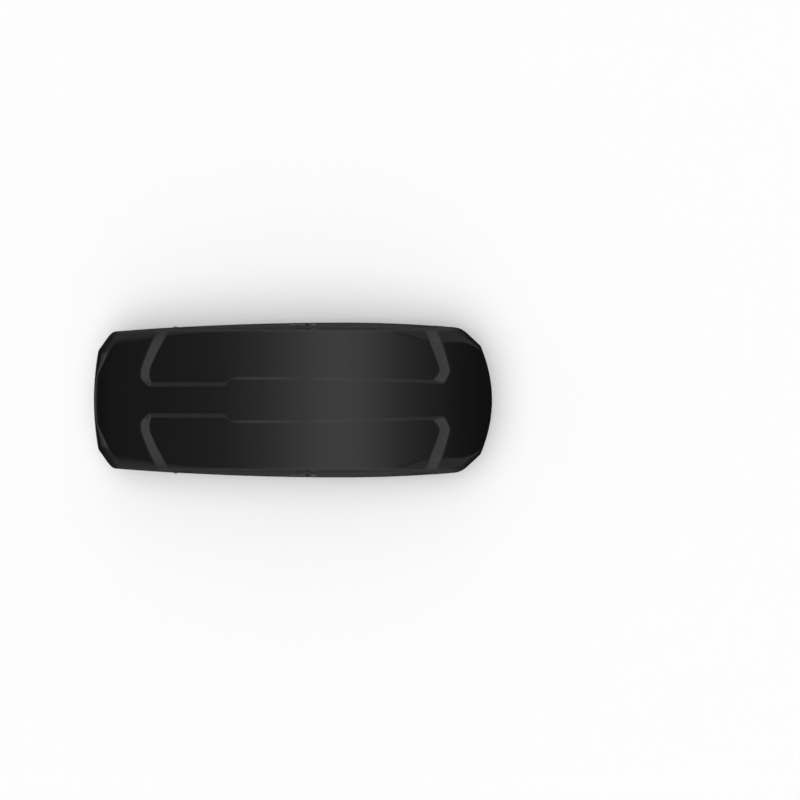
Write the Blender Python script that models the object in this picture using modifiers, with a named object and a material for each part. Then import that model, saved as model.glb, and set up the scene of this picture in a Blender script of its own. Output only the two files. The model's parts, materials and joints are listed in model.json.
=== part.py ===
"""Roof box for a car: a formed lid on a formed tray, opening from either side.

Metres. +X is the nose, +Y the car's left, +Z up. The origin is under the
middle of the box, level with the lowest point of the crossbar clamps.
"""

import math

import bmesh
import bpy
from mathutils import Matrix, Vector
from mathutils.bvhtree import BVHTree

# Overall size
LENGTH = 2.300
HALF_WIDTH = 0.449
CLAMP_DROP = 0.045
TRAY_DEPTH = 0.160
LID_HEIGHT = 0.238

# Outline of the rim, seen from above
WIDEST_X = 0.300
REAR_NARROWING = 0.063
FRONT_NARROWING = 0.052
REAR_CORNER_WIDTH = 0.164
REAR_BOW = 0.026
REAR_CORNER_SLOPE = 1.41
FRONT_CORNER_WIDTH = 0.135
FRONT_BOW = 0.067
FRONT_CORNER_SLOPE = 0.93
CORNER_BLEND = 0.030

# Lid
SHEET = 0.003
LID_RIM_GAP = 0.004
APEX_X = 0.100
REAR_FALL = 0.130
FRONT_FALL = 0.153
NOSE_LENGTH = 0.300
NOSE_DROP = 0.036
TAIL_LENGTH = 0.130
TAIL_DROP = 0.012
SIDE_FALL = 0.028
SIDE_FALL_POWER = 4.0
SHOULDER_WIDTH = 0.055
SHOULDER_INSET = 0.018
TAIL_INSET = 0.022
NOSE_INSET = 0.006
KNEE_SHARE = 0.60
KNEE_HEIGHT = 0.060

# Sunk panels of the lid and the spine between them; bands are measured from
# the lid's ends, at its centre and at its side
PANEL_DEPTH = 0.014
STEP_WIDTH = 0.017
SPINE_REAR = 0.0765
SPINE_MIDDLE = 0.115
SPINE_FRONT = 0.092
SPINE_JOG_START = -0.384
SPINE_JOG_END = -0.323
SPINE_NARROWING_X = 0.100
REAR_BAND_START = (0.284, 0.378)
REAR_BAND_END = (0.333, 0.451)
FRONT_BAND_START = (0.244, 0.318)
FRONT_BAND_END = (0.300, 0.387)
CORNER_CUT_ALONG = 0.91
CORNER_CUT_ACROSS = 3.2
CORNER_CUT_WIDTH = 1.4
BAND_SWEEP_START = 0.42
BAND_SWEEP_POWER = 1.2
END_REACH = 0.240

# Tray; each bend of its wall is (side inset, end inset, height), the insets
# measured from the ridge and the heights down from the rim or up from the floor
TRAY_END_SPAN = (0.250, 0.290)
RIM_BEND = (0.004, 0.006, 0.015)
WALL_BEND = (0.018, 0.040, 0.100)
FOOT_BEND = (0.045, 0.090, 0.016)
FLANGE_EDGE_INSET = 0.002
FLANGE_INSET = 0.042
RIDGE_INSET = 0.044
RIDGE_WIDTH = 0.008
RIDGE_HEIGHT = 0.010
FLOOR_INSET = 0.135
FLOOR_END_INSET = 0.200
FLOOR_RIB_HEIGHT = 0.008
FLOOR_RIB_GAP = 0.012
FLOOR_RIB_RUN = 0.025

# Side rails
RAIL_REAR_SETBACK = 0.474
RAIL_FRONT_SETBACK = 0.347
RAIL_REAR_SLANT = 0.046
RAIL_FRONT_SLANT = 0.130
RAIL_END_HEIGHT = 0.028
RAIL_WIDTH = 0.064
RAIL_SHELF = 0.016
RAIL_FOOT_GAP = 0.002
RAIL_LID_GAP = 0.0015
RAIL_FOOT_DEPTH = 0.020
RAIL_SPANS = 8

# Hinges
HINGE_INSET = 0.031
HINGE_DROP = 0.016
PIN_RADIUS = 0.004
PIN_PLAY = 0.0004
KNUCKLE_RADIUS = 0.008
EAR_WIDTH = 0.008
ARM_WIDTH = 0.010
ARM_GAP = 0.004
ARM_THICKNESS = 0.007
ARM_REACH = 0.055
NOTCH_INSET = 0.045
NOTCH_PLAY = 0.005

# Catches and latch bars
REAR_CATCH_SETBACK = 0.176
MIDDLE_CATCH_X = 0.200
FRONT_CATCH_SETBACK = 0.203
CATCH_INSET = 0.032
CATCH_WIDTH = 0.012
CATCH_HEIGHT = 0.036
CATCH_THICKNESS = 0.004
CATCH_FOOT = 0.022
LATCH_TRAVEL = 0.014
LATCH_BAR_GAP = 0.002
LATCH_BAR_THICKNESS = 0.003
FINGER_WIDTH = 0.012
FINGER_GAP = 0.001
LATCH_BAR_LOW = 0.040
LATCH_BAR_HEIGHT = 0.012
PEG_HEIGHT = 0.006
PEG_WIDTH = 0.008
PEG_LEVEL = 0.023
PEG_PLAY = 0.002

# Grip and lock
GRIP_X = 0.029
GRIP_LENGTH = 0.092
GRIP_HEIGHT = 0.026
LOCK_X = 0.121
LOCK_LENGTH = 0.044
LOCK_DEPTH = 0.018
FACE_LEVEL = 0.026
KEY_RADIUS = 0.0065
PLAY = 0.0006

# Lid lifters
STRUT_XS = (-0.250, 0.450)
STRUT_FOOT = (0.075, -0.039)
STRUT_HEAD = (0.250, 0.170)
TUBE_RADIUS = 0.009
TUBE_LENGTH = 0.205
ROD_RADIUS = 0.004
BRACKET_THICKNESS = 0.006

# Lid bows
BOW_WIDTH = 0.050
BOW_THICKNESS = 0.004
BOW_END_INSET = 0.149
BOW_GLUE = 0.0009
BOW_BEND_SHIFT = 0.004

# Crossbar clamps
CLAMP_XS = (-0.310, 0.380)
CLAMP_Y = 0.200
CLAMP_LENGTH = 0.170
CLAMP_WIDTH = 0.055
CLAMP_HEIGHT = 0.042
CLAMP_WALL = 0.005
JAW_PIVOT_X = 0.058
JAW_PIVOT_RISE = 0.022
JAW_WIDTH = 0.030
JAW_PIN_RADIUS = 0.003
CROSSBAR_HALF = 0.044
KNOB_RADIUS = 0.024
KNOB_HEIGHT = 0.020
KNOB_STEM_RADIUS = 0.006
FLOOR_RAIL_WIDTH = 0.062
FLOOR_RAIL_THICKNESS = 0.0025
FLOOR_RAIL_OVERHANG = 0.300
SLOT_START = 0.040
SLOT_END = 0.080

# Rim seals
SEAL_WIDTH = 0.008
SEAL_HEIGHT = 0.003
SEAL_INSET = 0.010
SEAL_RAIL_GAP = 0.040

# Gap between pieces that touch
SEAT = 0.0003

HALF_LENGTH = LENGTH / 2
RIM_Z = CLAMP_DROP + TRAY_DEPTH
FLOOR_Z = CLAMP_DROP + SHEET
HINGE_Z = RIM_Z - HINGE_DROP
HINGE_Y = HALF_WIDTH - HINGE_INSET
REAR_EDGE = HALF_WIDTH - REAR_CORNER_WIDTH
FRONT_EDGE = HALF_WIDTH - FRONT_CORNER_WIDTH
RAIL_REAR_X = RAIL_REAR_SETBACK - HALF_LENGTH
RAIL_FRONT_X = HALF_LENGTH - RAIL_FRONT_SETBACK
RAIL_INNER_Y = HALF_WIDTH - RAIL_WIDTH
LATCH_BAR_Y = RAIL_INNER_Y + SHEET + LATCH_BAR_GAP
CATCH_XS = (RAIL_REAR_X + REAR_CATCH_SETBACK, MIDDLE_CATCH_X, RAIL_FRONT_X - FRONT_CATCH_SETBACK)
SIDES = {"left": 1, "right": -1}


def clear_scene():
    for item in list(bpy.data.objects):
        bpy.data.objects.remove(item, do_unlink=True)
    for group in list(bpy.data.collections):
        bpy.data.collections.remove(group)


def make_collection(name):
    group = bpy.data.collections.new(name)
    bpy.context.scene.collection.children.link(group)
    return group


def make_material(name, colour, roughness, metallic=0.0):
    material = bpy.data.materials.new(name)
    material.use_nodes = True
    shader = material.node_tree.nodes["Principled BSDF"]
    shader.inputs["Base Color"].default_value = (*colour, 1.0)
    shader.inputs["Roughness"].default_value = roughness
    shader.inputs["Metallic"].default_value = metallic
    return material


clear_scene()
PARTS = make_collection("roof_box")
CUTTERS = make_collection("cutters")
GLOSS_BLACK = make_material("gloss_black", (0.012, 0.012, 0.013), 0.12)
MATTE_BLACK = make_material("matte_black", (0.020, 0.020, 0.021), 0.55)
DARK_GREY = make_material("dark_grey", (0.060, 0.062, 0.065), 0.45)
STEEL = make_material("steel", (0.55, 0.56, 0.57), 0.35, 1.0)
ALUMINIUM = make_material("aluminium", (0.70, 0.71, 0.72), 0.40, 1.0)
RUBBER = make_material("rubber", (0.015, 0.015, 0.015), 0.80)


# Basic makers

def add_object(name, mesh_source, material, origin=(0, 0, 0)):
    """Link a bmesh, given in world coordinates, as an object with this origin."""
    bmesh.ops.translate(mesh_source, verts=mesh_source.verts, vec=-Vector(origin))
    mesh = bpy.data.meshes.new(name)
    mesh_source.to_mesh(mesh)
    mesh_source.free()
    mesh.materials.append(material)
    item = bpy.data.objects.new(name, mesh)
    item.location = origin
    PARTS.objects.link(item)
    return item


def as_cutter(item):
    PARTS.objects.unlink(item)
    CUTTERS.objects.link(item)
    item.hide_render = True
    item.display_type = "WIRE"
    return item


def apply_tool(item, tool, operation):
    modifier = item.modifiers.new(operation.lower() + "_" + tool.name, "BOOLEAN")
    modifier.operation = operation
    modifier.solver = "EXACT"
    modifier.object = as_cutter(tool)


def cut(item, tool):
    apply_tool(item, tool, "DIFFERENCE")


def join(item, tool):
    apply_tool(item, tool, "UNION")


def box(name, low, high, material, origin=(0, 0, 0)):
    """A box between two corners given in any order."""
    shape = bmesh.new()
    bmesh.ops.create_cube(shape, size=1.0)
    low, high = Vector(low), Vector(high)
    size = Vector((abs(high[axis] - low[axis]) for axis in range(3)))
    bmesh.ops.scale(shape, verts=shape.verts, vec=size)
    bmesh.ops.translate(shape, verts=shape.verts, vec=(low + high) / 2)
    return add_object(name, shape, material, origin)


def rod(name, start, end, radius, material, origin=(0, 0, 0), sides=12, end_radius=None):
    """A cylinder or cone from start to end."""
    start, end = Vector(start), Vector(end)
    shape = bmesh.new()
    bmesh.ops.create_cone(shape, cap_ends=True, segments=sides, radius1=radius,
                          radius2=radius if end_radius is None else end_radius,
                          depth=(end - start).length)
    turn = Vector((0, 0, 1)).rotation_difference(end - start).to_matrix().to_4x4()
    bmesh.ops.transform(shape, matrix=Matrix.Translation((start + end) / 2) @ turn, verts=shape.verts)
    return add_object(name, shape, material, origin)


def prism(name, outline, across, low, high, material, origin=(0, 0, 0)):
    """An outline pushed from low to high along the axis named by across.

    The outline's points are (y, z) across x, and (x, z) across y.
    """
    shape = bmesh.new()

    def corner(point, level):
        if across == "x":
            return (level, point[0], point[1])
        return (point[0], level, point[1])

    near = [shape.verts.new(corner(point, low)) for point in outline]
    far = [shape.verts.new(corner(point, high)) for point in outline]
    shape.faces.new(near)
    shape.faces.new(far)
    for index in range(len(outline)):
        following = (index + 1) % len(outline)
        shape.faces.new((near[index], near[following], far[following], far[index]))
    bmesh.ops.recalc_face_normals(shape, faces=shape.faces)
    return add_object(name, shape, material, origin)


def arc(centre, radius, start_degrees, end_degrees, steps):
    """Points of an arc, both ends included."""
    points = []
    for step in range(steps + 1):
        angle = math.radians(start_degrees + (end_degrees - start_degrees) * step / steps)
        points.append((centre[0] + radius * math.cos(angle), centre[1] + radius * math.sin(angle)))
    return points


def add_solidify(item, thickness):
    modifier = item.modifiers.new("sheet", "SOLIDIFY")
    modifier.thickness = thickness
    modifier.offset = -1.0
    modifier.use_even_offset = True


def add_mirror(item):
    modifier = item.modifiers.new("other_half", "MIRROR")
    modifier.use_axis = (False, True, False)
    modifier.merge_threshold = 0.0001


# Outline of the rim

def smooth_min(first, second, blend):
    overlap = max(blend - abs(first - second), 0.0) / blend
    return min(first, second) - overlap * overlap * blend / 4


def bowed_side(x):
    """Half-width of the long bowed sides."""
    if x < WIDEST_X:
        return HALF_WIDTH - REAR_NARROWING * ((WIDEST_X - x) / (WIDEST_X + HALF_LENGTH)) ** 2
    return HALF_WIDTH - FRONT_NARROWING * ((x - WIDEST_X) / (HALF_LENGTH - WIDEST_X)) ** 2


def side_y(x):
    """Half-width of the rim with its cut-off corners."""
    rear = REAR_EDGE + REAR_CORNER_SLOPE * (x + HALF_LENGTH - REAR_BOW)
    front = FRONT_EDGE + FRONT_CORNER_SLOPE * (HALF_LENGTH - FRONT_BOW - x)
    return smooth_min(bowed_side(x), min(rear, front), CORNER_BLEND)


REAR_SPLIT_Y = (REAR_EDGE + bowed_side(REAR_BOW - HALF_LENGTH)) / 2
FRONT_SPLIT_Y = (FRONT_EDGE + bowed_side(HALF_LENGTH - FRONT_BOW)) / 2


def rear_x(y):
    if y <= REAR_EDGE:
        return -HALF_LENGTH + REAR_BOW * (y / REAR_EDGE) ** 2
    return -HALF_LENGTH + REAR_BOW + (y - REAR_EDGE) / REAR_CORNER_SLOPE


def front_x(y):
    if y <= FRONT_EDGE:
        return HALF_LENGTH - FRONT_BOW * (y / FRONT_EDGE) ** 2
    return HALF_LENGTH - FRONT_BOW - (y - FRONT_EDGE) / FRONT_CORNER_SLOPE


REAR_END = (-HALF_LENGTH, rear_x(REAR_SPLIT_Y))
FRONT_END = (HALF_LENGTH, front_x(FRONT_SPLIT_Y))


def sweep(t):
    """How far a crosswise line has moved from its centre x to its side x."""
    return max((t - BAND_SWEEP_START) / (1 - BAND_SWEEP_START), 0.0) ** BAND_SWEEP_POWER


def plan_point(station, t):
    """A point of the plan: station is (centre x, side x), t runs from centre to side."""
    centre_x, side_x = station
    x = centre_x + (side_x - centre_x) * sweep(t)
    y = side_y(side_x) * t
    for end, edge, split in ((REAR_END, rear_x, REAR_SPLIT_Y), (FRONT_END, front_x, FRONT_SPLIT_Y)):
        weight = max(1 - abs(centre_x - end[0]) / END_REACH, 0.0) ** 2
        straight = end[0] + (end[1] - end[0]) * sweep(t)
        x += weight * (edge(split * t) - straight)
    return x, y


def stations(guides, counts, end_power=1.4):
    """Stations between guide pairs, closer together towards both ends."""
    result = [guides[0]]
    last = len(counts) - 1
    for index, count in enumerate(counts):
        start, end = guides[index], guides[index + 1]
        for step in range(1, count + 1):
            share = step / count
            if index == 0:
                share = share ** end_power
            elif index == last:
                share = 1 - (1 - share) ** end_power
            result.append(tuple(a + (b - a) * share for a, b in zip(start, end)))
    return result


# Lid

def shoulder_ratio(x):
    side = bowed_side(x)
    return smooth_min(HALF_WIDTH - SHOULDER_WIDTH, side - SHOULDER_INSET, CORNER_BLEND / 2) / side


def lean_in(x, y, share):
    """Move a rim point up the lid's wall: share 0 is the rim, 1 the shoulder."""
    end_inset = TAIL_INSET if x < 0 else NOSE_INSET
    return x * (1 - share * end_inset / HALF_LENGTH), y * (1 - share * (1 - shoulder_ratio(x)))


def crown(x, y):
    """Height of the lid over the rim without its sunk panels."""
    if x < APEX_X:
        height = LID_HEIGHT - REAR_FALL * ((APEX_X - x) / (APEX_X + HALF_LENGTH)) ** 2
    else:
        height = LID_HEIGHT - FRONT_FALL * ((x - APEX_X) / (HALF_LENGTH - APEX_X)) ** 2
    height -= NOSE_DROP * max((x - HALF_LENGTH) / NOSE_LENGTH + 1, 0.0) ** 2
    height -= TAIL_DROP * max((-x - HALF_LENGTH) / TAIL_LENGTH + 1, 0.0) ** 2
    return height * (1 - SIDE_FALL * min(abs(y) / bowed_side(x), 1.0) ** SIDE_FALL_POWER)


def from_rear(spans):
    return tuple(span - HALF_LENGTH for span in spans)


def from_front(spans):
    return tuple(HALF_LENGTH - span for span in spans)


REAR_BAND_OUTER = from_rear(REAR_BAND_START)
REAR_BAND_INNER = from_rear(REAR_BAND_END)
FRONT_BAND_OUTER = from_front(FRONT_BAND_START)
FRONT_BAND_INNER = from_front(FRONT_BAND_END)


def spine_edge(x):
    """Half-width of the raised spine, with its jog."""
    if x < SPINE_JOG_START:
        return SPINE_REAR
    if x < SPINE_JOG_END:
        share = (x - SPINE_JOG_START) / (SPINE_JOG_END - SPINE_JOG_START)
        return SPINE_REAR + (SPINE_MIDDLE - SPINE_REAR) * share
    if x < SPINE_NARROWING_X:
        return SPINE_MIDDLE
    share = min((x - SPINE_NARROWING_X) / (FRONT_BAND_INNER[0] - SPINE_NARROWING_X), 1.0)
    return SPINE_MIDDLE + (SPINE_FRONT - SPINE_MIDDLE) * share


def panel_share(station, y):
    """0 on the spine, nose and tail, 1 in the sunk panels."""
    centre_x = station[0]
    rear = (centre_x - REAR_BAND_OUTER[0]) / (REAR_BAND_INNER[0] - REAR_BAND_OUTER[0])
    front = (FRONT_BAND_OUTER[0] - centre_x) / (FRONT_BAND_OUTER[0] - FRONT_BAND_INNER[0])
    inner = (y - spine_edge(centre_x)) / STEP_WIDTH
    corner = (front / CORNER_CUT_ALONG + inner / CORNER_CUT_ACROSS - 1) / CORNER_CUT_WIDTH
    return min(max(min(rear, front, inner, corner), 0.0), 1.0)


LID_GUIDES = (REAR_END, REAR_BAND_OUTER, REAR_BAND_INNER, (SPINE_JOG_START, SPINE_JOG_START),
              (SPINE_JOG_END, SPINE_JOG_END), FRONT_BAND_INNER, FRONT_BAND_OUTER, FRONT_END)
LID_COUNTS = (6, 1, 3, 1, 9, 1, 5)
LID_LINES = (0.22, 0.42, 0.60, 0.74, 0.84, 0.93, 1.0)


def lid_row(station):
    """Points of one crosswise line over the lid, from the centre to the shoulder."""
    half = side_y(station[1]) * shoulder_ratio(station[1])
    edge = spine_edge(station[0])
    step_end = (edge + STEP_WIDTH) / half
    shares = [0.0, edge / half, step_end]
    shares += [step_end + (1 - step_end) * line for line in LID_LINES]
    row = []
    for share in shares:
        x, y = lean_in(*plan_point(station, share), 1.0)
        z = RIM_Z + crown(x, y) - PANEL_DEPTH * panel_share(station, y)
        row.append(((x, y, z), plan_point(station, share)))
    return row


def boundary(grid):
    """The outer edge of a half grid, from the rear centre to the front centre."""
    last = len(grid[0]) - 1
    return grid[0][:last] + [row[last] for row in grid] + grid[-1][:last][::-1]


def add_grid(shape, rows):
    """Quads between rows of vertices; flipped rows turn the faces over."""
    for first, second in zip(rows, rows[1:]):
        for index in range(len(first) - 1):
            shape.faces.new((first[index], second[index], second[index + 1], first[index + 1]))


def wall_knee(x, y, z):
    """The knee of the lid's wall, in the plane of the side rails' faces."""
    knee = min(KNEE_HEIGHT, KNEE_SHARE * (z - RIM_Z))
    return (*lean_in(x, y, KNEE_SHARE), RIM_Z + knee)


def make_lid():
    shape = bmesh.new()
    grid = [lid_row(station) for station in stations(LID_GUIDES, LID_COUNTS)]
    top = [[(shape.verts.new(point), plan, point) for point, plan in row] for row in grid]
    add_grid(shape, [[entry[0] for entry in row] for row in top])
    edge = boundary(top)
    knee = [shape.verts.new(wall_knee(*plan, point[2])) for _, plan, point in edge]
    rim = [shape.verts.new((*plan, RIM_Z + LID_RIM_GAP)) for _, plan, _ in edge]
    add_grid(shape, [rim, knee, [entry[0] for entry in edge]])
    lid = add_object("lid_shell", shape, GLOSS_BLACK)
    add_mirror(lid)
    add_solidify(lid, SHEET)
    for side in SIDES.values():
        cut(lid, rail_window(side))
    return lid


def rail_outline(gap):
    """Side view of a rail from end to end, widened by a gap."""
    low = RIM_Z - RAIL_FOOT_DEPTH
    top = RIM_Z + KNEE_HEIGHT + gap
    end = RIM_Z + RAIL_END_HEIGHT + gap
    rear, front = RAIL_REAR_X - gap, RAIL_FRONT_X + gap
    return [(rear, low), (front, low), (front, end), (front - RAIL_FRONT_SLANT, top),
            (rear + RAIL_REAR_SLANT, top), (rear, end)]


def rail_window(side):
    """Cutter for the gap in the lid's wall that a side rail fills."""
    name = "rail_window_" + ("left" if side > 0 else "right")
    inside, outside = side * (RAIL_INNER_Y - 0.03), side * (HALF_WIDTH + 0.02)
    return prism(name, rail_outline(RAIL_LID_GAP), "y", inside, outside, GLOSS_BLACK)


# Tray

TRAY_GUIDES = (REAR_END, from_rear(TRAY_END_SPAN), from_front(TRAY_END_SPAN), FRONT_END)
TRAY_COUNTS = (4, 12, 4)
RIB_FOOT_Y = CLAMP_Y - FLOOR_RAIL_WIDTH / 2 - FLOOR_RIB_GAP
RIB_TOP_Y = RIB_FOOT_Y - FLOOR_RIB_RUN
FLOOR_HALF_WIDTH = HALF_WIDTH - FLOOR_INSET
TRAY_LINES = (0.0, RIB_TOP_Y / FLOOR_HALF_WIDTH, RIB_FOOT_Y / FLOOR_HALF_WIDTH, 0.70, 0.85, 1.0)
RIB_LINES = 1


def tray_ring(plan, side_inset, end_inset, z):
    x, y = plan
    return x * (1 - end_inset / HALF_LENGTH), y * (1 - side_inset / bowed_side(x)), z


def tray_profile():
    """Side inset, end inset and height of each ring, from the flange to the floor."""
    ridge_end = RIDGE_INSET + RIDGE_WIDTH
    return (
        (FLANGE_EDGE_INSET, FLANGE_EDGE_INSET, RIM_Z),
        (FLANGE_INSET, FLANGE_INSET, RIM_Z),
        (RIDGE_INSET, RIDGE_INSET, RIM_Z + RIDGE_HEIGHT),
        (ridge_end, ridge_end, RIM_Z + RIDGE_HEIGHT),
        (ridge_end + RIM_BEND[0], ridge_end + RIM_BEND[1], RIM_Z - RIM_BEND[2]),
        (ridge_end + WALL_BEND[0], ridge_end + WALL_BEND[1], RIM_Z - WALL_BEND[2]),
        (ridge_end + FOOT_BEND[0], ridge_end + FOOT_BEND[1], FLOOR_Z + FOOT_BEND[2]),
        (FLOOR_INSET, FLOOR_END_INSET, FLOOR_Z),
    )


def make_tray():
    shape = bmesh.new()
    plan = [[plan_point(station, line) for line in TRAY_LINES]
            for station in stations(TRAY_GUIDES, TRAY_COUNTS)]
    floor = []
    for index, row in enumerate(plan):
        ribbed = TRAY_COUNTS[0] < index < TRAY_COUNTS[0] + TRAY_COUNTS[1] and index % 3 == 0
        floor.append([])
        for line, point in enumerate(row):
            rise = FLOOR_RIB_HEIGHT if ribbed and line <= RIB_LINES else 0.0
            corner = tray_ring(point, FLOOR_INSET, FLOOR_END_INSET, FLOOR_Z + rise)
            floor[-1].append(shape.verts.new(corner))
    add_grid(shape, floor)
    edge = boundary(plan)
    rings = []
    for level in tray_profile()[:-1]:
        rings.append([shape.verts.new(tray_ring(point, *level)) for point in edge])
    rings.append(boundary(floor))
    add_grid(shape, rings)
    tray = add_object("base_shell", shape, MATTE_BLACK)
    add_mirror(tray)
    add_solidify(tray, SHEET)
    for name, side in SIDES.items():
        for end, ear_x, outward in hinge_places():
            low, high = sorted((ear_x - outward * (EAR_WIDTH + NOTCH_PLAY),
                                ear_x + outward * (ARM_GAP + ARM_WIDTH + NOTCH_PLAY)))
            cut(tray, box(f"notch_{end}_{name}", (low, side * (HALF_WIDTH - NOTCH_INSET), RIM_Z - 0.02),
                          (high, side * (HALF_WIDTH + 0.02), RIM_Z + 0.005), MATTE_BLACK))
    cut_jaw_slots(tray, "tray", (1, -1))
    return tray


def cut_jaw_slots(item, name, sides):
    """Slots in the floor and its rails that the clamp jaws pass through."""
    half = JAW_WIDTH / 2 + 0.003
    for index, clamp_x in enumerate(CLAMP_XS):
        for side in sides:
            for outward in (1, -1):
                low, high = sorted((clamp_x + outward * SLOT_START, clamp_x + outward * SLOT_END))
                tag = f"slot_{name}_{index}_{'l' if side > 0 else 'r'}_{'f' if outward > 0 else 'b'}"
                cut(item, box(tag, (low, side * CLAMP_Y - half, FLOOR_Z - 0.02),
                              (high, side * CLAMP_Y + half, FLOOR_Z + 0.02), MATTE_BLACK))


# Rim seals

def make_seal(name, is_end):
    """A flat strip on the flange round one end, as far as the side rails."""
    ends = [station for station in stations(TRAY_GUIDES, TRAY_COUNTS) if is_end(station[1])]
    edge = [plan_point(station, 1.0) for station in ends]
    if edge[0][0] < 0:
        nose = [plan_point(REAR_END, line) for line in TRAY_LINES[:-1]]
        half = nose + edge
    else:
        nose = [plan_point(FRONT_END, line) for line in TRAY_LINES[:-1]]
        half = (edge + nose[::-1])[::-1]
    shape = bmesh.new()
    rows = []
    for inset in (SEAL_INSET, SEAL_INSET + SEAL_WIDTH):
        line = [tray_ring(point, inset, inset, RIM_Z + SEAT + SEAL_HEIGHT) for point in half]
        line = [(x, -y, z) for x, y, z in line[:0:-1]] + line
        rows.append([shape.verts.new(point) for point in line])
    add_grid(shape, rows)
    bmesh.ops.recalc_face_normals(shape, faces=shape.faces)
    if shape.faces[:][0].normal.z < 0:
        bmesh.ops.reverse_faces(shape, faces=shape.faces)
    seal = add_object(name, shape, RUBBER)
    add_solidify(seal, SEAL_HEIGHT)
    return seal


# Side rails

def rail_top(x):
    """Height of a rail over the rim plane."""
    rear = (x - RAIL_REAR_X) / RAIL_REAR_SLANT
    front = (RAIL_FRONT_X - x) / RAIL_FRONT_SLANT
    share = min(rear, front, 1.0)
    return RAIL_END_HEIGHT + (KNEE_HEIGHT - RAIL_END_HEIGHT) * share


def face_y(x, height):
    """Half-width of the rail's outer face at a height over the rim plane."""
    return lean_in(x, side_y(x), KNEE_SHARE * height / KNEE_HEIGHT)[1]


def rail_section(x, side):
    top = rail_top(x)
    foot = (face_y(x, RAIL_FOOT_GAP), RAIL_FOOT_GAP)
    crest = (face_y(x, top), top)
    inner = (RAIL_INNER_Y, top)
    shelf = (RAIL_INNER_Y, RAIL_SHELF)
    crest = (max(crest[0], RAIL_INNER_Y + 0.001), top)
    return [(x, side * y, RIM_Z + z) for y, z in (foot, crest, inner, shelf)]


def make_rail(name, side):
    shape = bmesh.new()
    places = [RAIL_REAR_X, RAIL_REAR_X + RAIL_REAR_SLANT]
    span = RAIL_FRONT_X - RAIL_FRONT_SLANT - places[1]
    places += [places[1] + span * step / RAIL_SPANS for step in range(1, RAIL_SPANS + 1)]
    places.append(RAIL_FRONT_X)
    rows = [[shape.verts.new(point) for point in rail_section(x, side)] for x in places]
    add_grid(shape, rows)
    shape.faces.new(rows[0])
    shape.faces.new(rows[-1][::-1])
    if side > 0:
        bmesh.ops.reverse_faces(shape, faces=shape.faces)
    rail = add_object(f"side_rail_{name}", shape, GLOSS_BLACK, (0, side * HINGE_Y, HINGE_Z))
    add_solidify(rail, SHEET)
    for end, ear_x, outward in hinge_places():
        join(rail, make_ear(f"ear_{end}_{name}", ear_x, -outward, side))
    for index, strut_x in enumerate(STRUT_XS):
        join(rail, make_strut_plate(f"strut_plate_{index}_{name}", strut_x, side))
        join(rail, make_strut_pin(f"strut_pin_{index}_{name}", strut_x, side))
    cut_face_window(rail, f"grip_window_{name}", side, GRIP_X - GRIP_LENGTH / 2 - PLAY,
                    GRIP_X + GRIP_LENGTH / 2 + LATCH_TRAVEL + PLAY)
    cut_face_window(rail, f"lock_window_{name}", side, LOCK_X - LOCK_LENGTH / 2 - SEAT,
                    LOCK_X + LOCK_LENGTH / 2 + SEAT)
    return rail


def hinge_places():
    """Name, ear face and outward direction of each hinge."""
    return (("rear", RAIL_REAR_X, -1), ("front", RAIL_FRONT_X, 1))


def make_ear(name, ear_x, inward, side):
    """Plate below a rail's end that holds a hinge pin."""
    half = KNUCKLE_RADIUS - 0.001
    outline = [(side * (HINGE_Y - half), RIM_Z + 0.014), (side * (HINGE_Y - half), HINGE_Z)]
    outline += [(side * y, z) for y, z in arc((HINGE_Y, HINGE_Z), half, 210, 330, 4)]
    outline += [(side * (HINGE_Y + half), HINGE_Z)]
    outline += [(side * min(HINGE_Y + half, face_y(ear_x, 0.014) - 0.0015), RIM_Z + 0.014)]
    return prism(name, outline, "x", ear_x, ear_x + inward * EAR_WIDTH, GLOSS_BLACK)


def make_pin(name, ear_x, outward, side):
    reach = ARM_GAP + ARM_WIDTH + 0.002
    start = (ear_x + outward * SEAT, side * HINGE_Y, HINGE_Z)
    end = (ear_x + outward * reach, side * HINGE_Y, HINGE_Z)
    return rod(name, start, end, PIN_RADIUS, STEEL, origin=start, sides=16)


def make_arm(name, ear_x, outward, side):
    """Lid arm: an eye round the pin, a neck through the flange and a leg up the wall."""
    near = ear_x + outward * ARM_GAP
    far = near + outward * ARM_WIDTH
    middle = (near + far) / 2
    neck = HINGE_Y - KNUCKLE_RADIUS + 0.003
    low = RIM_Z + 0.008
    high = RIM_Z + ARM_REACH
    wall_low = face_y(middle, 0.020) - SHEET * 1.3 - 0.0005
    wall_high = face_y(middle, ARM_REACH) - SHEET * 1.3 - 0.0005
    outline = arc((HINGE_Y, HINGE_Z), KNUCKLE_RADIUS, 120, 400, 14)
    outline += [(neck, RIM_Z - 0.006), (neck, low), (min(wall_low, HINGE_Y), RIM_Z + 0.020)]
    outline += [(wall_high, high), (wall_high - ARM_THICKNESS, high), (neck - ARM_THICKNESS, low)]
    outline += [(neck - ARM_THICKNESS, RIM_Z - 0.008)]
    arm = prism(name, [(side * y, z) for y, z in outline], "x", near, far, GLOSS_BLACK,
                (middle, side * HINGE_Y, HINGE_Z))
    hole = rod(f"hole_{name}", (near - outward * 0.005, side * HINGE_Y, HINGE_Z),
               (far + outward * 0.005, side * HINGE_Y, HINGE_Z), PIN_RADIUS + PIN_PLAY, STEEL, sides=16)
    cut(arm, hole)
    return arm


# Catches and latch bars

def catch_y(x):
    return side_y(x) - CATCH_INSET


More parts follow.
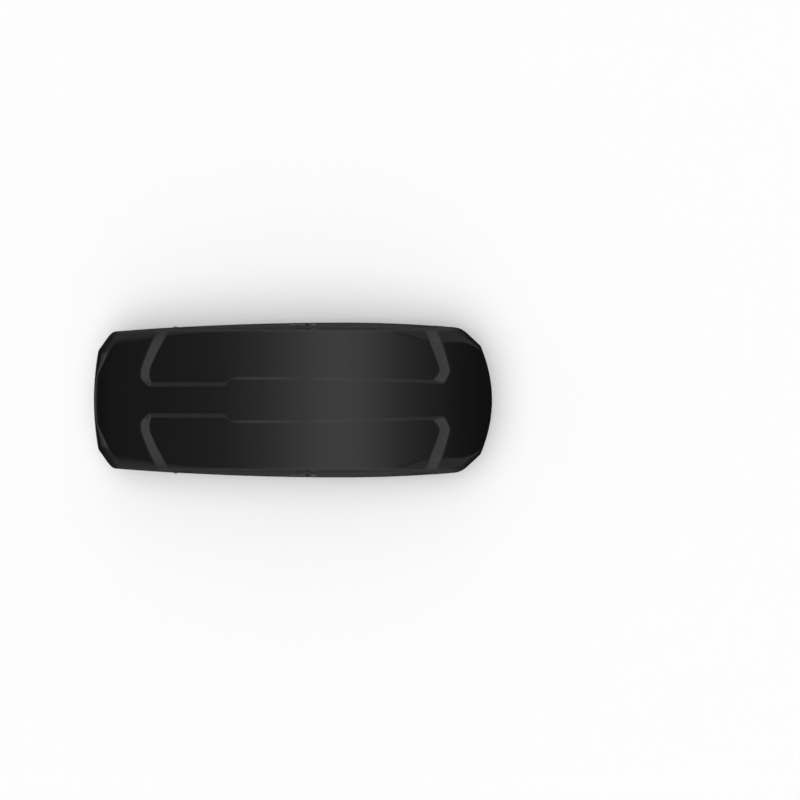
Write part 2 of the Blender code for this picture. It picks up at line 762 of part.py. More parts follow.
def make_catch(name, x, side):
    """Tongue on the tray's flange, with a hole for the latch bar's peg."""
    centre = side * catch_y(x)
    half = CATCH_WIDTH / 2
    foot = RIM_Z + SEAT
    catch = box(name, (x, centre - half, foot),
                (x + CATCH_THICKNESS, centre + half, RIM_Z + CATCH_HEIGHT), STEEL)
    join(catch, box(f"foot_{name}", (x + 0.001, centre - half, foot),
                    (x + CATCH_FOOT, centre + half, foot + SHEET), STEEL))
    hole_half = PEG_WIDTH / 2 + PEG_PLAY / 2
    cut(catch, box(f"hole_{name}", (x - 0.01, centre - hole_half, RIM_Z + PEG_LEVEL - PEG_PLAY),
                   (x + 0.03, centre + hole_half, RIM_Z + PEG_LEVEL + PEG_HEIGHT + PEG_PLAY), STEEL))
    return catch


def make_latch_bar(name, side):
    """Sliding bar with a cranked finger and a peg for each catch."""
    low = RIM_Z + LATCH_BAR_LOW
    rear = CATCH_XS[0] - 0.030
    front = CATCH_XS[-1] + 0.010
    outer_y = LATCH_BAR_Y + LATCH_BAR_THICKNESS
    bar = box(name, (rear, side * LATCH_BAR_Y, low), (front, side * outer_y, low + LATCH_BAR_HEIGHT), STEEL)
    half = PEG_WIDTH / 2
    peg_low = RIM_Z + PEG_LEVEL
    for index, x in enumerate(CATCH_XS):
        centre = catch_y(x)
        finger_front = x - LATCH_TRAVEL - FINGER_GAP
        finger_rear = finger_front - FINGER_WIDTH
        join(bar, box(f"{name}_arm_{index}", (finger_rear, side * (LATCH_BAR_Y + 0.001), low - 0.001),
                      (finger_front, side * (centre + half), low + 0.003), STEEL))
        join(bar, box(f"{name}_drop_{index}",
                      (finger_rear + 0.001, side * (centre - half + 0.001), peg_low - 0.001),
                      (finger_front - 0.001, side * (centre + half - 0.001), low + 0.002), STEEL))
        join(bar, box(f"{name}_peg_{index}", (finger_rear + 0.002, side * (centre - half + 0.002), peg_low),
                      (x - 0.002, side * (centre + half - 0.002), peg_low + PEG_HEIGHT), STEEL))
    return bar


# Grip and lock

def face_frame(x, side):
    """Centre and turn of the rail's face at x: local z runs up the face, local y outwards."""
    low = Vector((x, side * face_y(x, 0.0), RIM_Z))
    high = Vector((x, side * face_y(x, KNEE_HEIGHT), RIM_Z + KNEE_HEIGHT))
    up = (high - low).normalized()
    along = Vector((side, 0, 0))
    outward = up.cross(along)
    centre = low + (high - low) * (FACE_LEVEL / KNEE_HEIGHT)
    turn = Matrix((along, outward, up)).transposed().to_4x4()
    return centre, outward, turn


def face_box(name, side, start_x, end_x, height, inner, outer, material, origin=None):
    """A box standing on the rail's face between two x, from inner to outer depth."""
    middle = (start_x + end_x) / 2
    centre, outward, turn = face_frame(middle, side)
    shape = bmesh.new()
    bmesh.ops.create_cube(shape, size=1.0)
    bmesh.ops.scale(shape, verts=shape.verts, vec=(end_x - start_x, outer - inner, height))
    shift = Matrix.Translation(centre + outward * (inner + outer) / 2)
    bmesh.ops.transform(shape, matrix=shift @ turn, verts=shape.verts)
    return add_object(name, shape, material, origin or (0, 0, 0))


def cut_face_window(rail, name, side, start_x, end_x):
    cut(rail, face_box(name, side, start_x, end_x, GRIP_HEIGHT + 2 * PLAY, -0.008, 0.010, GLOSS_BLACK))


def make_grip(name, side):
    """Slide grip in the rail's face, reaching in to the latch bar."""
    half = GRIP_LENGTH / 2
    grip = face_box(f"grip_{name}", side, GRIP_X - half, GRIP_X + half, GRIP_HEIGHT,
                    -0.004, 0.0005, DARK_GREY)
    join(grip, face_box(f"grip_ridge_{name}", side, GRIP_X - 0.006, GRIP_X + 0.006, GRIP_HEIGHT * 0.8,
                        -0.002, 0.004, DARK_GREY))
    centre, _, _ = face_frame(GRIP_X, side)
    link_low = RIM_Z + FACE_LEVEL - 0.004
    bar_inner = LATCH_BAR_Y + LATCH_BAR_THICKNESS
    join(grip, box(f"grip_link_{name}", (GRIP_X - 0.010, side * LATCH_BAR_Y, link_low),
                   (GRIP_X + 0.010, side * (abs(centre.y) - 0.003), link_low + 0.006), DARK_GREY))
    join(grip, box(f"grip_post_{name}", (GRIP_X - 0.009, side * LATCH_BAR_Y, link_low + 0.001),
                   (GRIP_X + 0.009, side * bar_inner, RIM_Z + LATCH_BAR_LOW - SEAT), DARK_GREY))
    return grip


def make_lock_case(name, side):
    half = LOCK_LENGTH / 2
    case = face_box(f"lock_case_{name}", side, LOCK_X - half, LOCK_X + half, GRIP_HEIGHT,
                    -LOCK_DEPTH, 0.0005, DARK_GREY)
    centre, outward, _ = face_frame(LOCK_X, side)
    cut(case, rod(f"key_hole_{name}", centre - outward * (LOCK_DEPTH - 0.004), centre + outward * 0.01,
                  KEY_RADIUS + PIN_PLAY, DARK_GREY, sides=16))
    return case


def make_key_plug(name, side):
    centre, outward, turn = face_frame(LOCK_X, side)
    start = centre - outward * (LOCK_DEPTH - 0.004 - SEAT)
    plug = rod(f"key_plug_{name}", start, centre + outward * 0.0015, KEY_RADIUS, STEEL,
               origin=start, sides=16)
    shape = bmesh.new()
    bmesh.ops.create_cube(shape, size=1.0)
    bmesh.ops.scale(shape, verts=shape.verts, vec=(0.0018, 0.012, 0.007))
    bmesh.ops.transform(shape, matrix=Matrix.Translation(centre) @ turn, verts=shape.verts)
    cut(plug, add_object(f"key_slot_{name}", shape, STEEL))
    return plug


# Lid lifters

def hinge_point(side, offset):
    """World y and z of a point given inboard and above its side's hinge axis."""
    return side * (HINGE_Y - offset[0]), HINGE_Z + offset[1]


def make_strut_plate(name, x, side):
    """Inner plate of a side rail that carries a lifter's foot."""
    near = x + TUBE_RADIUS + 0.0015
    foot_y, foot_z = hinge_point(1, STRUT_FOOT)
    outline = [(RAIL_INNER_Y + 0.001, RIM_Z + 0.020), (RAIL_INNER_Y + 0.001, RIM_Z + 0.050),
               (foot_y + 0.020, RIM_Z + 0.050), (foot_y - 0.008, foot_z + 0.004),
               (foot_y - 0.008, foot_z - 0.006), (foot_y + 0.008, foot_z - 0.006),
               (foot_y + 0.028, RIM_Z - 0.004), (foot_y + 0.028, RIM_Z + 0.020)]
    return prism(name, [(side * y, z) for y, z in outline], "x", near, near + BRACKET_THICKNESS, GLOSS_BLACK)


def make_strut_pin(name, x, side):
    y, z = hinge_point(side, STRUT_FOOT)
    return rod(name, (x - TUBE_RADIUS - 0.001, y, z), (x + TUBE_RADIUS + 0.004, y, z), 0.003, GLOSS_BLACK)


def strut_direction(side):
    foot = Vector((0, *hinge_point(side, STRUT_FOOT)))
    head = Vector((0, *hinge_point(side, STRUT_HEAD)))
    return (head - foot).normalized(), (head - foot).length


def turned(name, profile, foot, direction, material, steps=12):
    """A body turned round an axis: profile points are (radius, distance from foot)."""
    shape = bmesh.new()
    corners = [shape.verts.new((radius, 0, height)) for radius, height in profile]
    for first, second in zip(corners, corners[1:]):
        shape.edges.new((first, second))
    mesh_origin = add_object(name, shape, material)
    mesh_origin.location = foot
    mesh_origin.rotation_mode = "QUATERNION"
    mesh_origin.rotation_quaternion = Vector((0, 0, 1)).rotation_difference(direction)
    modifier = mesh_origin.modifiers.new("turn", "SCREW")
    modifier.steps = steps
    modifier.render_steps = steps
    modifier.merge_threshold = 0.0001
    modifier.use_merge_vertices = True
    modifier.use_normal_calculate = True
    return mesh_origin


def make_strut_tube(name, x, side):
    """Tube of a lifter, with a blind bore for the rod and an eye at its foot."""
    direction, _ = strut_direction(side)
    foot = Vector((x, *hinge_point(side, STRUT_FOOT)))
    bore = ROD_RADIUS + PIN_PLAY
    profile = [(0, 0.030), (bore, 0.030), (bore, TUBE_LENGTH), (TUBE_RADIUS, TUBE_LENGTH),
               (TUBE_RADIUS, 0.006), (TUBE_RADIUS * 0.8, -0.005), (TUBE_RADIUS * 0.4, -0.009), (0, -0.009)]
    tube = turned(name, profile[::-1], foot, direction, DARK_GREY)
    y, z = foot.y, foot.z
    cut(tube, rod(f"eye_{name}", (x - 0.02, y, z), (x + 0.02, y, z), 0.003 + PIN_PLAY, DARK_GREY))
    return tube


def make_strut_rod(name, x, side):
    """Rod of a lifter, ending in a socket beside the lid bracket's stud."""
    direction, length = strut_direction(side)
    foot = Vector((x, *hinge_point(side, STRUT_FOOT)))
    profile = [(0, 0.034), (ROD_RADIUS, 0.034), (ROD_RADIUS, length - 0.012), (0.007, length - 0.007),
               (0.008, length), (0.005, length + 0.006), (0, length + 0.007)]
    return turned(name, profile, foot, direction, STEEL)


def make_strut_bracket(name, x, side, ceiling):
    """Bracket under a lid bow with the stud that the rod's socket sits beside."""
    y, z = hinge_point(side, STRUT_HEAD)
    near = x + 0.008 + 0.004
    top = ceiling - SEAT
    outline = [(y - 0.014, top), (y + 0.014, top), (y + 0.008, z + 0.010), (y + 0.008, z - 0.006),
               (y - 0.008, z - 0.006), (y - 0.008, z + 0.010)]
    bracket = prism(name, outline, "x", near, near + 0.005, STEEL)
    join(bracket, rod(f"stud_{name}", (x + 0.008 + SEAT, y, z), (near + 0.002, y, z), 0.004, STEEL))
    return bracket


# Lid bows

def make_bow(name, x, lid_surface):
    """A strip bent to the inside of the lid, from shoulder to shoulder."""
    spots = bow_spots(x)
    shape = bmesh.new()
    rows = []
    for edge_x in (x - BOW_WIDTH / 2, x + BOW_WIDTH / 2):
        line = []
        for y, measured_y in spots:
            hit = lid_surface.ray_cast(Vector((edge_x, measured_y, RIM_Z)), Vector((0, 0, 1)))[0]
            line.append((edge_x, y, hit.z - BOW_GLUE))
        mirrored = [(point_x, -y, z) for point_x, y, z in line[:0:-1]]
        rows.append([shape.verts.new(point) for point in mirrored + line])
    add_grid(shape, rows)
    bow = add_object(name, shape, DARK_GREY)
    add_solidify(bow, BOW_THICKNESS)
    return bow


def bow_spots(x):
    """Bends of a bow: each y, and the y where the lid's height is taken for it."""
    edge = spine_edge(x)
    foot = edge + STEP_WIDTH
    half_span = HALF_WIDTH - BOW_END_INSET
    spots = [(0.0, 0.0), (edge - BOW_BEND_SHIFT, edge - 2 * BOW_BEND_SHIFT)]
    spots += [(foot - BOW_BEND_SHIFT, foot + BOW_BEND_SHIFT)]
    return spots + [(y, y) for y in (foot + (half_span - foot) * step / 4 for step in range(1, 5))]


# Crossbar clamps

def make_housing(name, x, y):
    low = FLOOR_Z + FLOOR_RAIL_THICKNESS + 2 * SEAT
    half_x, half_y = CLAMP_LENGTH / 2, CLAMP_WIDTH / 2
    hollow_x, hollow_y = half_x - CLAMP_WALL, half_y - CLAMP_WALL
    housing = box(f"clamp_housing_{name}", (x - half_x, y - half_y, low),
                  (x + half_x, y + half_y, low + CLAMP_HEIGHT), MATTE_BLACK)
    cut(housing, box(f"clamp_hollow_{name}", (x - hollow_x, y - hollow_y, low - 0.01),
                     (x + hollow_x, y + hollow_y, low + CLAMP_HEIGHT - CLAMP_WALL), MATTE_BLACK))
    for outward in (1, -1):
        pin_x = x + outward * JAW_PIVOT_X
        pin_z = FLOOR_Z + JAW_PIVOT_RISE
        join(housing, rod(f"jaw_pin_{name}_{'f' if outward > 0 else 'b'}",
                          (pin_x, y - half_y + 0.002, pin_z), (pin_x, y + half_y - 0.002, pin_z),
                          JAW_PIN_RADIUS, MATTE_BLACK))
    top = low + CLAMP_HEIGHT
    cut(housing, rod(f"stem_hole_{name}", (x, y, top - 0.02), (x, y, top + 0.01),
                     KNOB_STEM_RADIUS + PIN_PLAY, MATTE_BLACK))
    return housing


def make_knob(name, x, y):
    """Knob with lobes, on a stem through the housing's top."""
    low = FLOOR_Z + FLOOR_RAIL_THICKNESS + CLAMP_HEIGHT + 3 * SEAT
    knob = rod(f"clamp_knob_{name}", (x, y, low), (x, y, low + KNOB_HEIGHT), KNOB_RADIUS, DARK_GREY,
               origin=(x, y, low), sides=24, end_radius=KNOB_RADIUS - 0.003)
    join(knob, rod(f"knob_stem_{name}", (x, y, low - 0.014), (x, y, low + 0.004),
                   KNOB_STEM_RADIUS, DARK_GREY))
    for step in range(5):
        angle = math.tau * step / 5
        scoop_x = x + (KNOB_RADIUS + 0.003) * math.cos(angle)
        scoop_y = y + (KNOB_RADIUS + 0.003) * math.sin(angle)
        cut(knob, rod(f"knob_scoop_{name}_{step}", (scoop_x, scoop_y, low - 0.01),
                      (scoop_x, scoop_y, low + KNOB_HEIGHT + 0.01), 0.008, DARK_GREY, sides=10))
    return knob


def make_jaw(name, x, y, outward):
    """Hooked jaw: an eye on the housing's pin, a leg through the floor and a toe under the bar."""
    pivot = (JAW_PIVOT_X, FLOOR_Z + JAW_PIVOT_RISE)
    toe_top = CLAMP_DROP - 0.035
    outline = arc(pivot, 0.008, 0, 180, 6)
    outline += [(CROSSBAR_HALF + 0.002, CLAMP_DROP - 0.002), (CROSSBAR_HALF + 0.002, toe_top + 0.006),
                (CROSSBAR_HALF - 0.004, toe_top), (0.020, toe_top), (0.018, toe_top - 0.005),
                (0.022, 0.0), (0.050, 0.0), (0.060, 0.008), (0.066, 0.024), (0.066, CLAMP_DROP)]
    outline = [(x + outward * point_x, z) for point_x, z in outline]
    pivot_x = x + outward * JAW_PIVOT_X
    jaw = prism(name, outline, "y", y - JAW_WIDTH / 2, y + JAW_WIDTH / 2, DARK_GREY, (pivot_x, y, pivot[1]))
    cut(jaw, rod(f"eye_{name}", (pivot_x, y - 0.03, pivot[1]), (pivot_x, y + 0.03, pivot[1]),
                 JAW_PIN_RADIUS + PIN_PLAY, DARK_GREY))
    return jaw


def make_floor_rail(name, side):
    low = FLOOR_Z + SEAT
    half = FLOOR_RAIL_WIDTH / 2
    rear = CLAMP_XS[0] - FLOOR_RAIL_OVERHANG
    front = CLAMP_XS[-1] + FLOOR_RAIL_OVERHANG
    rail = box(f"floor_rail_{name}", (rear, side * CLAMP_Y - half, low),
               (front, side * CLAMP_Y + half, low + FLOOR_RAIL_THICKNESS), ALUMINIUM)
    cut_jaw_slots(rail, f"rail_{name}", (side,))
    return rail


def under_surface(item, x, y):
    """Height of the lowest face of an object over a point of the floor."""
    depsgraph = bpy.context.evaluated_depsgraph_get()
    tree = BVHTree.FromObject(item, depsgraph)
    hit = tree.ray_cast(Vector((x, y, RIM_Z)) - item.location, Vector((0, 0, 1)))[0]
    return hit.z + item.location.z


def make_strut(index, x, name, side, bow):
    tag = ("rear", "front")[index] + "_" + name
    make_strut_tube(f"strut_tube_{tag}", x, side)
    make_strut_rod(f"strut_rod_{tag}", x, side)
    head_y = hinge_point(side, STRUT_HEAD)[0]
    ceiling = min(under_surface(bow, x + 0.0145 + shift_x, head_y + shift_y)
                  for shift_x in (-0.0024, 0.0024) for shift_y in (-0.0139, 0.0139))
    make_strut_bracket(f"strut_bracket_{tag}", x, side, ceiling)


def build():
    lid = make_lid()
    make_tray()
    make_seal("seal_rear", lambda x: x < RAIL_REAR_X - SEAL_RAIL_GAP)
    make_seal("seal_front", lambda x: x > RAIL_FRONT_X + SEAL_RAIL_GAP)
    bpy.context.view_layer.update()
    lid_surface = BVHTree.FromObject(lid, bpy.context.evaluated_depsgraph_get())
    bows = [make_bow("lid_bow_rear", STRUT_XS[0], lid_surface),
            make_bow("lid_bow_front", STRUT_XS[1], lid_surface)]
    bpy.context.view_layer.update()
    for name, side in SIDES.items():
        make_rail(name, side)
        for end, ear_x, outward in hinge_places():
            make_pin(f"hinge_pin_{end}_{name}", ear_x, outward, side)
            make_arm(f"hinge_arm_{end}_{name}", ear_x, outward, side)
        for end, x in zip(("rear", "middle", "front"), CATCH_XS):
            make_catch(f"catch_{end}_{name}", x, side)
        make_latch_bar(f"latch_bar_{name}", side)
        make_grip(name, side)
        make_lock_case(name, side)
        make_key_plug(name, side)
        make_floor_rail(name, side)
        for index, x in enumerate(STRUT_XS):
            make_strut(index, x, name, side, bows[index])
        for end, x in zip(("rear", "front"), CLAMP_XS):
            place = f"{end}_{name}"
            make_housing(place, x, side * CLAMP_Y)
            make_knob(place, x, side * CLAMP_Y)
            make_jaw(f"jaw_front_{place}", x, side * CLAMP_Y, 1)
            make_jaw(f"jaw_rear_{place}", x, side * CLAMP_Y, -1)


build()
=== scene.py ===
"""Looks of the roof box: fine shells, finishes, studio and camera."""

import json
import math

import bmesh
import bpy
from mathutils import Matrix, Vector
from mathutils.bvhtree import BVHTree


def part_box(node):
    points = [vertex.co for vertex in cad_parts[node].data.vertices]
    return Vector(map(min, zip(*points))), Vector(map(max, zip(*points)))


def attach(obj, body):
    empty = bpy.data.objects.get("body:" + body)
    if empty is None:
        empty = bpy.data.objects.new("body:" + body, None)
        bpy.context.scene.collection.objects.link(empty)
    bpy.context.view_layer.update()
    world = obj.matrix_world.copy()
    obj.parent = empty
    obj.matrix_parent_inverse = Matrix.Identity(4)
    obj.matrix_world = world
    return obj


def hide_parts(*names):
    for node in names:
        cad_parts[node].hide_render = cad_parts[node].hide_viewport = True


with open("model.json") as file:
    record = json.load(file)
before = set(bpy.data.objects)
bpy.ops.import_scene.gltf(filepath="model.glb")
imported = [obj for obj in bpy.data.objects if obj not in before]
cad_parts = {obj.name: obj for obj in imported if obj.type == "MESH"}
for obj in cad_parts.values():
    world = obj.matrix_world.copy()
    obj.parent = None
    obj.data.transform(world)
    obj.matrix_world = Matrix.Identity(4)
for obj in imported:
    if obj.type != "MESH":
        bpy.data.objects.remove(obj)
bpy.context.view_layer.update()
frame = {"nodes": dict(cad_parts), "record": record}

# Overall size, in metres as in the solids
LENGTH = 2.300
HALF_LENGTH = LENGTH / 2
HALF_WIDTH = 0.449
RIM_Z = 0.205
FLOOR_Z = 0.048
SHEET = 0.003

# Outline of the rim, seen from above
WIDEST_X = 0.300
REAR_NARROWING = 0.063
FRONT_NARROWING = 0.052
REAR_CORNER_WIDTH = 0.164
REAR_BOW = 0.026
REAR_CORNER_SLOPE = 1.41
FRONT_CORNER_WIDTH = 0.135
FRONT_BOW = 0.067
FRONT_CORNER_SLOPE = 0.93
CORNER_BLEND = 0.030
REAR_EDGE = HALF_WIDTH - REAR_CORNER_WIDTH
FRONT_EDGE = HALF_WIDTH - FRONT_CORNER_WIDTH
END_REACH = 0.240

# Crown, shoulder and wall of the lid
LID_HEIGHT = 0.238
LID_RIM_GAP = 0.004
CROWN_ALLOWANCE = 0.0003
APEX_X = 0.100
REAR_FALL = 0.130
FRONT_FALL = 0.153
NOSE_LENGTH = 0.300
NOSE_DROP = 0.036
TAIL_LENGTH = 0.130
TAIL_DROP = 0.012
SIDE_FALL = 0.028
SIDE_FALL_POWER = 4.0
SHOULDER_WIDTH = 0.055
SHOULDER_INSET = 0.018
SHOULDER_BLEND = 0.015
TAIL_INSET = 0.022
NOSE_INSET = 0.006
KNEE_SHARE = 0.60
KNEE_HEIGHT = 0.060
SIDE_ROUND = 0.014
END_ROUND = 0.018
ROUND_BLEND = 0.060

# Facets along the shoulder; spans are along x or y, from none to full width
REAR_CURVE_WIDTH = 0.088
REAR_CURVE_SLOPE = 0.44
REAR_CURVE_SPAN = (0.100, 0.950)
FRONT_FACET_WIDTH = 0.066
FRONT_FACET_SLOPE = 0.44
FRONT_FACET_SPAN = (0.500, 0.860)
TAIL_FACET_WIDTH = 0.062
TAIL_FACET_SLOPE = 0.66
TAIL_FACET_SPAN = (0.080, 0.300)
FACET_SOFTNESS = 0.008

# Sunk panels and spine; step widths are pairs of x and width
PANEL_DEPTH = 0.014
STEP_WIDTHS = ((-0.400, 0.023), (-0.323, 0.015), (0.100, 0.013), (0.800, 0.021))
STEP_OVERLAP = 0.15
SPINE_REAR = 0.0765
SPINE_MIDDLE = 0.115
SPINE_FRONT = 0.092
SPINE_JOG_START = -0.384
SPINE_JOG_END = -0.323
SPINE_NARROWING_X = 0.100
EDGE_SOFTNESS = 0.06
CORNER_SOFTNESS = 0.35

# Bands at both ends, measured from the lid's ends at its centre and at its side
REAR_BAND_START = (0.284, 0.378)
REAR_BAND_END = (0.333, 0.451)
FRONT_BAND_START = (0.244, 0.318)
FRONT_BAND_END = (0.300, 0.387)
BAND_SWEEP_START = 0.42
BAND_SWEEP_POWER = 1.2

# Hooks of the bands beside the spine: y where they start, run, shifts of both edges
REAR_HOOK = (0.120, 0.034, (0.040, 0.017))
FRONT_HOOK = (0.156, 0.058, (0.029, 0.050))
HOOK_SOFTNESS = 0.30

# Windows of the lid for the side rails
RAIL_REAR_X = -0.676
RAIL_FRONT_X = 0.803
RAIL_REAR_SLANT = 0.046
RAIL_FRONT_SLANT = 0.130
RAIL_END_HEIGHT = 0.028
RAIL_INNER_Y = 0.385
RAIL_LID_GAP = 0.0015
WINDOW_INNER_MARGIN = 0.03
CUT_MARGIN = 0.02

# Tray; a bend is its side and end inset from the ridge's inner edge, then its depth
# below the rim or, for the foot, its height over the floor
RIM_BEND = (0.004, 0.006, 0.015)
WALL_BEND = (0.018, 0.040, 0.100)
FOOT_BEND = (0.045, 0.090, 0.016)
FLANGE_EDGE_INSET = 0.002
FLANGE_INSET = 0.042
RIDGE_INSET = 0.044
RIDGE_WIDTH = 0.008
RIDGE_HEIGHT = 0.010
FLOOR_INSET = 0.135
FLOOR_END_INSET = 0.200
BEND_SHARE = 0.42

# Pressed ribs across the floor
RIB_HEIGHT = 0.008
RIB_XS = (-0.496, -0.124, 0.248, 0.620)
RIB_HALF_WIDTH = 0.016
RIB_FLANK = 0.012
RIB_TOP_Y = 0.132
RIB_FOOT_Y = 0.157

# Slots of the jaws either side of each clamp, and notches at the rails' ends
CLAMP_XS = (-0.310, 0.380)
SLOT_START = 0.040
SLOT_END = 0.080
SLOT_Y = 0.200
SLOT_HALF = 0.018
NOTCH_OUTER = 0.019
NOTCH_INNER = 0.013
NOTCH_INSET = 0.045
NOTCH_TOP = 0.005
SLOTS = [(x + start, x + end) for x in CLAMP_XS
         for start, end in ((-SLOT_END, -SLOT_START), (SLOT_START, SLOT_END))]
NOTCHES = [(RAIL_REAR_X - NOTCH_OUTER, RAIL_REAR_X + NOTCH_INNER),
           (RAIL_FRONT_X - NOTCH_INNER, RAIL_FRONT_X + NOTCH_OUTER)]

# Fineness of the meshes: steps between the guide lines and across them, and how far
# past the bands an extra guide line lies
LID_COUNTS = (8, 20, 14, 6, 22, 10, 52, 14, 14, 18, 8)
REAR_HOOK_GUIDE = 0.024
FRONT_HOOK_GUIDE = 0.062
SPINE_STEPS = 8
STEP_STEPS = 10
PANEL_STEPS = 30
ROUND_STEPS = 8
WALL_STEPS = 10
TRAY_END_SPAN = (0.250, 0.290)
TRAY_COUNTS = (26, 150, 26)
TRAY_LINES = 40
BEND_STEPS = 5
END_CROWDING = 1.4
SHOULDER_CROWDING = 1.6

# Joined points, rounded edges by finish, and angles in degrees
WELD_DISTANCE = 0.00002
MIRROR_WELD = 0.0001
EDGE_ROUNDS = {"tray_black": 0.0012, "rail_black": 0.0012, "steel": 0.0004}
OTHER_EDGE_ROUND = 0.0006
LID_EDGE_ROUND = 0.0008
ROUND_SEGMENTS = 2
FLAT_ANGLE = 0.4
LID_EDGE_ANGLE = 50
SOLID_EDGE_ANGLE = 40
SHELL_SMOOTHING = 32
SOLID_SMOOTHING = 34
HEAD_SMOOTHING = 40

# Finishes: the part of the noise's range in use, and wear finer than the drift
NOISE_SPAN = (0.3, 0.7)
WEAR_SCALE = 4

# Small fasteners, and the painted shade of the keyways
RIVET_RADIUS = 0.0060
RIVET_HEIGHT = 0.0024
RIVET_WALL = 0.25
RIVET_FLAT = 0.05
RIVET_STEPS = 5
FLOOR_RAIL_RIVETS = (-0.575, -0.450, -0.110, 0.035, 0.180, 0.520, 0.645)
SCREW_RADIUS = 0.0042
SCREW_HEIGHT = 0.0026
SCREW_RIM = ((1.0, 0.0), (1.0, 0.6), (0.88, 0.9), (0.70, 1.0))
SOCKET_RADIUS = 0.0020
SOCKET_DEPTH = 0.0014
SOCKET_TIP = (0.3, 1.1)
CLAMP_SCREW_INSET = 0.014
HEAD_SIDES = 28
SEAT_GAP = 0.0001
SEAT_SEARCH = 0.01
# Painted shade of each keyway: a thin dark strip's two sizes on the plug's face and its thickness, then its
# drop below the plug's middle
KEYWAY_SHADE = (0.0014, 0.0084, 0.0005)
KEYWAY_SHADE_DROP = 0.0004

# Floor, lamp and sky; stops are pairs of an angle in degrees and a strength
FLOOR_SIZE = 60.0
FLOOR_GREY = 0.86
FLOOR_ROUGHNESS = 0.9
LAMP_STRENGTH = 2.2
LAMP_WIDTH = 80.0
LAMP_TILT = (5.0, -8.0)
BACKDROP = 1.0
SKY_TILT = math.radians(3.0)
STRIP_STOPS = ((-90, 0.90), (-74, 0.85), (-60, 0.16), (-50, 0.045), (-40, 0.09), (-32, 0.125), (-21, 0.20),
               (-14, 0.43), (-9, 0.76), (-5, 1.00), (0, 1.15), (5, 1.00), (9, 0.76), (14, 0.43), (21, 0.20),
               (32, 0.125), (40, 0.09), (50, 0.045), (90, 0.04))
SIDE_STOPS = ((0, 0.0), (16, 0.0), (26, 0.25), (38, 0.46), (90, 0.48))
HORIZON_STOPS = ((0, 1.0), (88, 1.0), (102, 0.60), (122, 0.28), (140, 0.16), (158, 0.085), (180, 0.05))

# Camera, over the middle of the photograph
CAMERA_X = 0.618
CAMERA_HEIGHT = 8.0
CAMERA_LENS = 62.3
SENSOR_WIDTH = 36.0


# Outline of the rim

def smooth_min(first, second, blend):
    overlap = max(blend - abs(first - second), 0.0) / blend
    return min(first, second) - overlap * overlap * blend / 4


def bowed_side(x):
    if x < WIDEST_X:
        return HALF_WIDTH - REAR_NARROWING * ((WIDEST_X - x) / (WIDEST_X + HALF_LENGTH)) ** 2
    return HALF_WIDTH - FRONT_NARROWING * ((x - WIDEST_X) / (HALF_LENGTH - WIDEST_X)) ** 2


def side_y(x):
    rear = REAR_EDGE + REAR_CORNER_SLOPE * (x + HALF_LENGTH - REAR_BOW)
    front = FRONT_EDGE + FRONT_CORNER_SLOPE * (HALF_LENGTH - FRONT_BOW - x)
    return smooth_min(bowed_side(x), min(rear, front), CORNER_BLEND)


REAR_SPLIT_Y = (REAR_EDGE + bowed_side(REAR_BOW - HALF_LENGTH)) / 2
FRONT_SPLIT_Y = (FRONT_EDGE + bowed_side(HALF_LENGTH - FRONT_BOW)) / 2


def rear_x(y):
    if y <= REAR_EDGE:
        return -HALF_LENGTH + REAR_BOW * (y / REAR_EDGE) ** 2
    return -HALF_LENGTH + REAR_BOW + (y - REAR_EDGE) / REAR_CORNER_SLOPE


def front_x(y):
    if y <= FRONT_EDGE:
        return HALF_LENGTH - FRONT_BOW * (y / FRONT_EDGE) ** 2
    return HALF_LENGTH - FRONT_BOW - (y - FRONT_EDGE) / FRONT_CORNER_SLOPE


REAR_END = (-HALF_LENGTH, rear_x(REAR_SPLIT_Y))
FRONT_END = (HALF_LENGTH, front_x(FRONT_SPLIT_Y))


def sweep(t):
    return max((t - BAND_SWEEP_START) / (1 - BAND_SWEEP_START), 0.0) ** BAND_SWEEP_POWER


def plan_point(station, t):
    """A point of the plan: station is (centre x, side x), t runs from centre to side."""
    centre_x, side_x = station
    x = centre_x + (side_x - centre_x) * sweep(t)
    y = side_y(side_x) * t
    for end, edge, split in ((REAR_END, rear_x, REAR_SPLIT_Y), (FRONT_END, front_x, FRONT_SPLIT_Y)):
        weight = max(1 - abs(centre_x - end[0]) / END_REACH, 0.0) ** 2
        straight = end[0] + (end[1] - end[0]) * sweep(t)
        x += weight * (edge(split * t) - straight)
    return x, y


def stations(guides, counts):
    """Stations between guide pairs, closer together towards both ends."""
    result = [guides[0]]
    last = len(counts) - 1
    for index, count in enumerate(counts):
        start, end = guides[index], guides[index + 1]
        for step in range(1, count + 1):
            share = step / count
            if index == 0:
                share = share ** END_CROWDING
            elif index == last:
                share = 1 - (1 - share) ** END_CROWDING
            result.append(tuple(a + (b - a) * share for a, b in zip(start, end)))
    return result


# Lid

def shoulder_ratio(x):
    side = bowed_side(x)
    return smooth_min(HALF_WIDTH - SHOULDER_WIDTH, side - SHOULDER_INSET, SHOULDER_BLEND) / side


def lean_in(x, y, share):
    """Move a rim point up the lid's wall: share 0 is the rim, 1 the shoulder."""
    end_inset = TAIL_INSET if x < 0 else NOSE_INSET
    return x * (1 - share * end_inset / HALF_LENGTH), y * (1 - share * (1 - shoulder_ratio(x)))


def crown(x, y):
    """Height of the lid over the rim without its sunk panels."""
    if x < APEX_X:
        height = LID_HEIGHT - REAR_FALL * ((APEX_X - x) / (APEX_X + HALF_LENGTH)) ** 2
    else:
        height = LID_HEIGHT - FRONT_FALL * ((x - APEX_X) / (HALF_LENGTH - APEX_X)) ** 2
    height -= NOSE_DROP * max((x - HALF_LENGTH) / NOSE_LENGTH + 1, 0.0) ** 2
    height -= TAIL_DROP * max((-x - HALF_LENGTH) / TAIL_LENGTH + 1, 0.0) ** 2
    return height * (1 - SIDE_FALL * min(abs(y) / bowed_side(x), 1.0) ** SIDE_FALL_POWER)


def from_rear(spans):
    return tuple(span - HALF_LENGTH for span in spans)


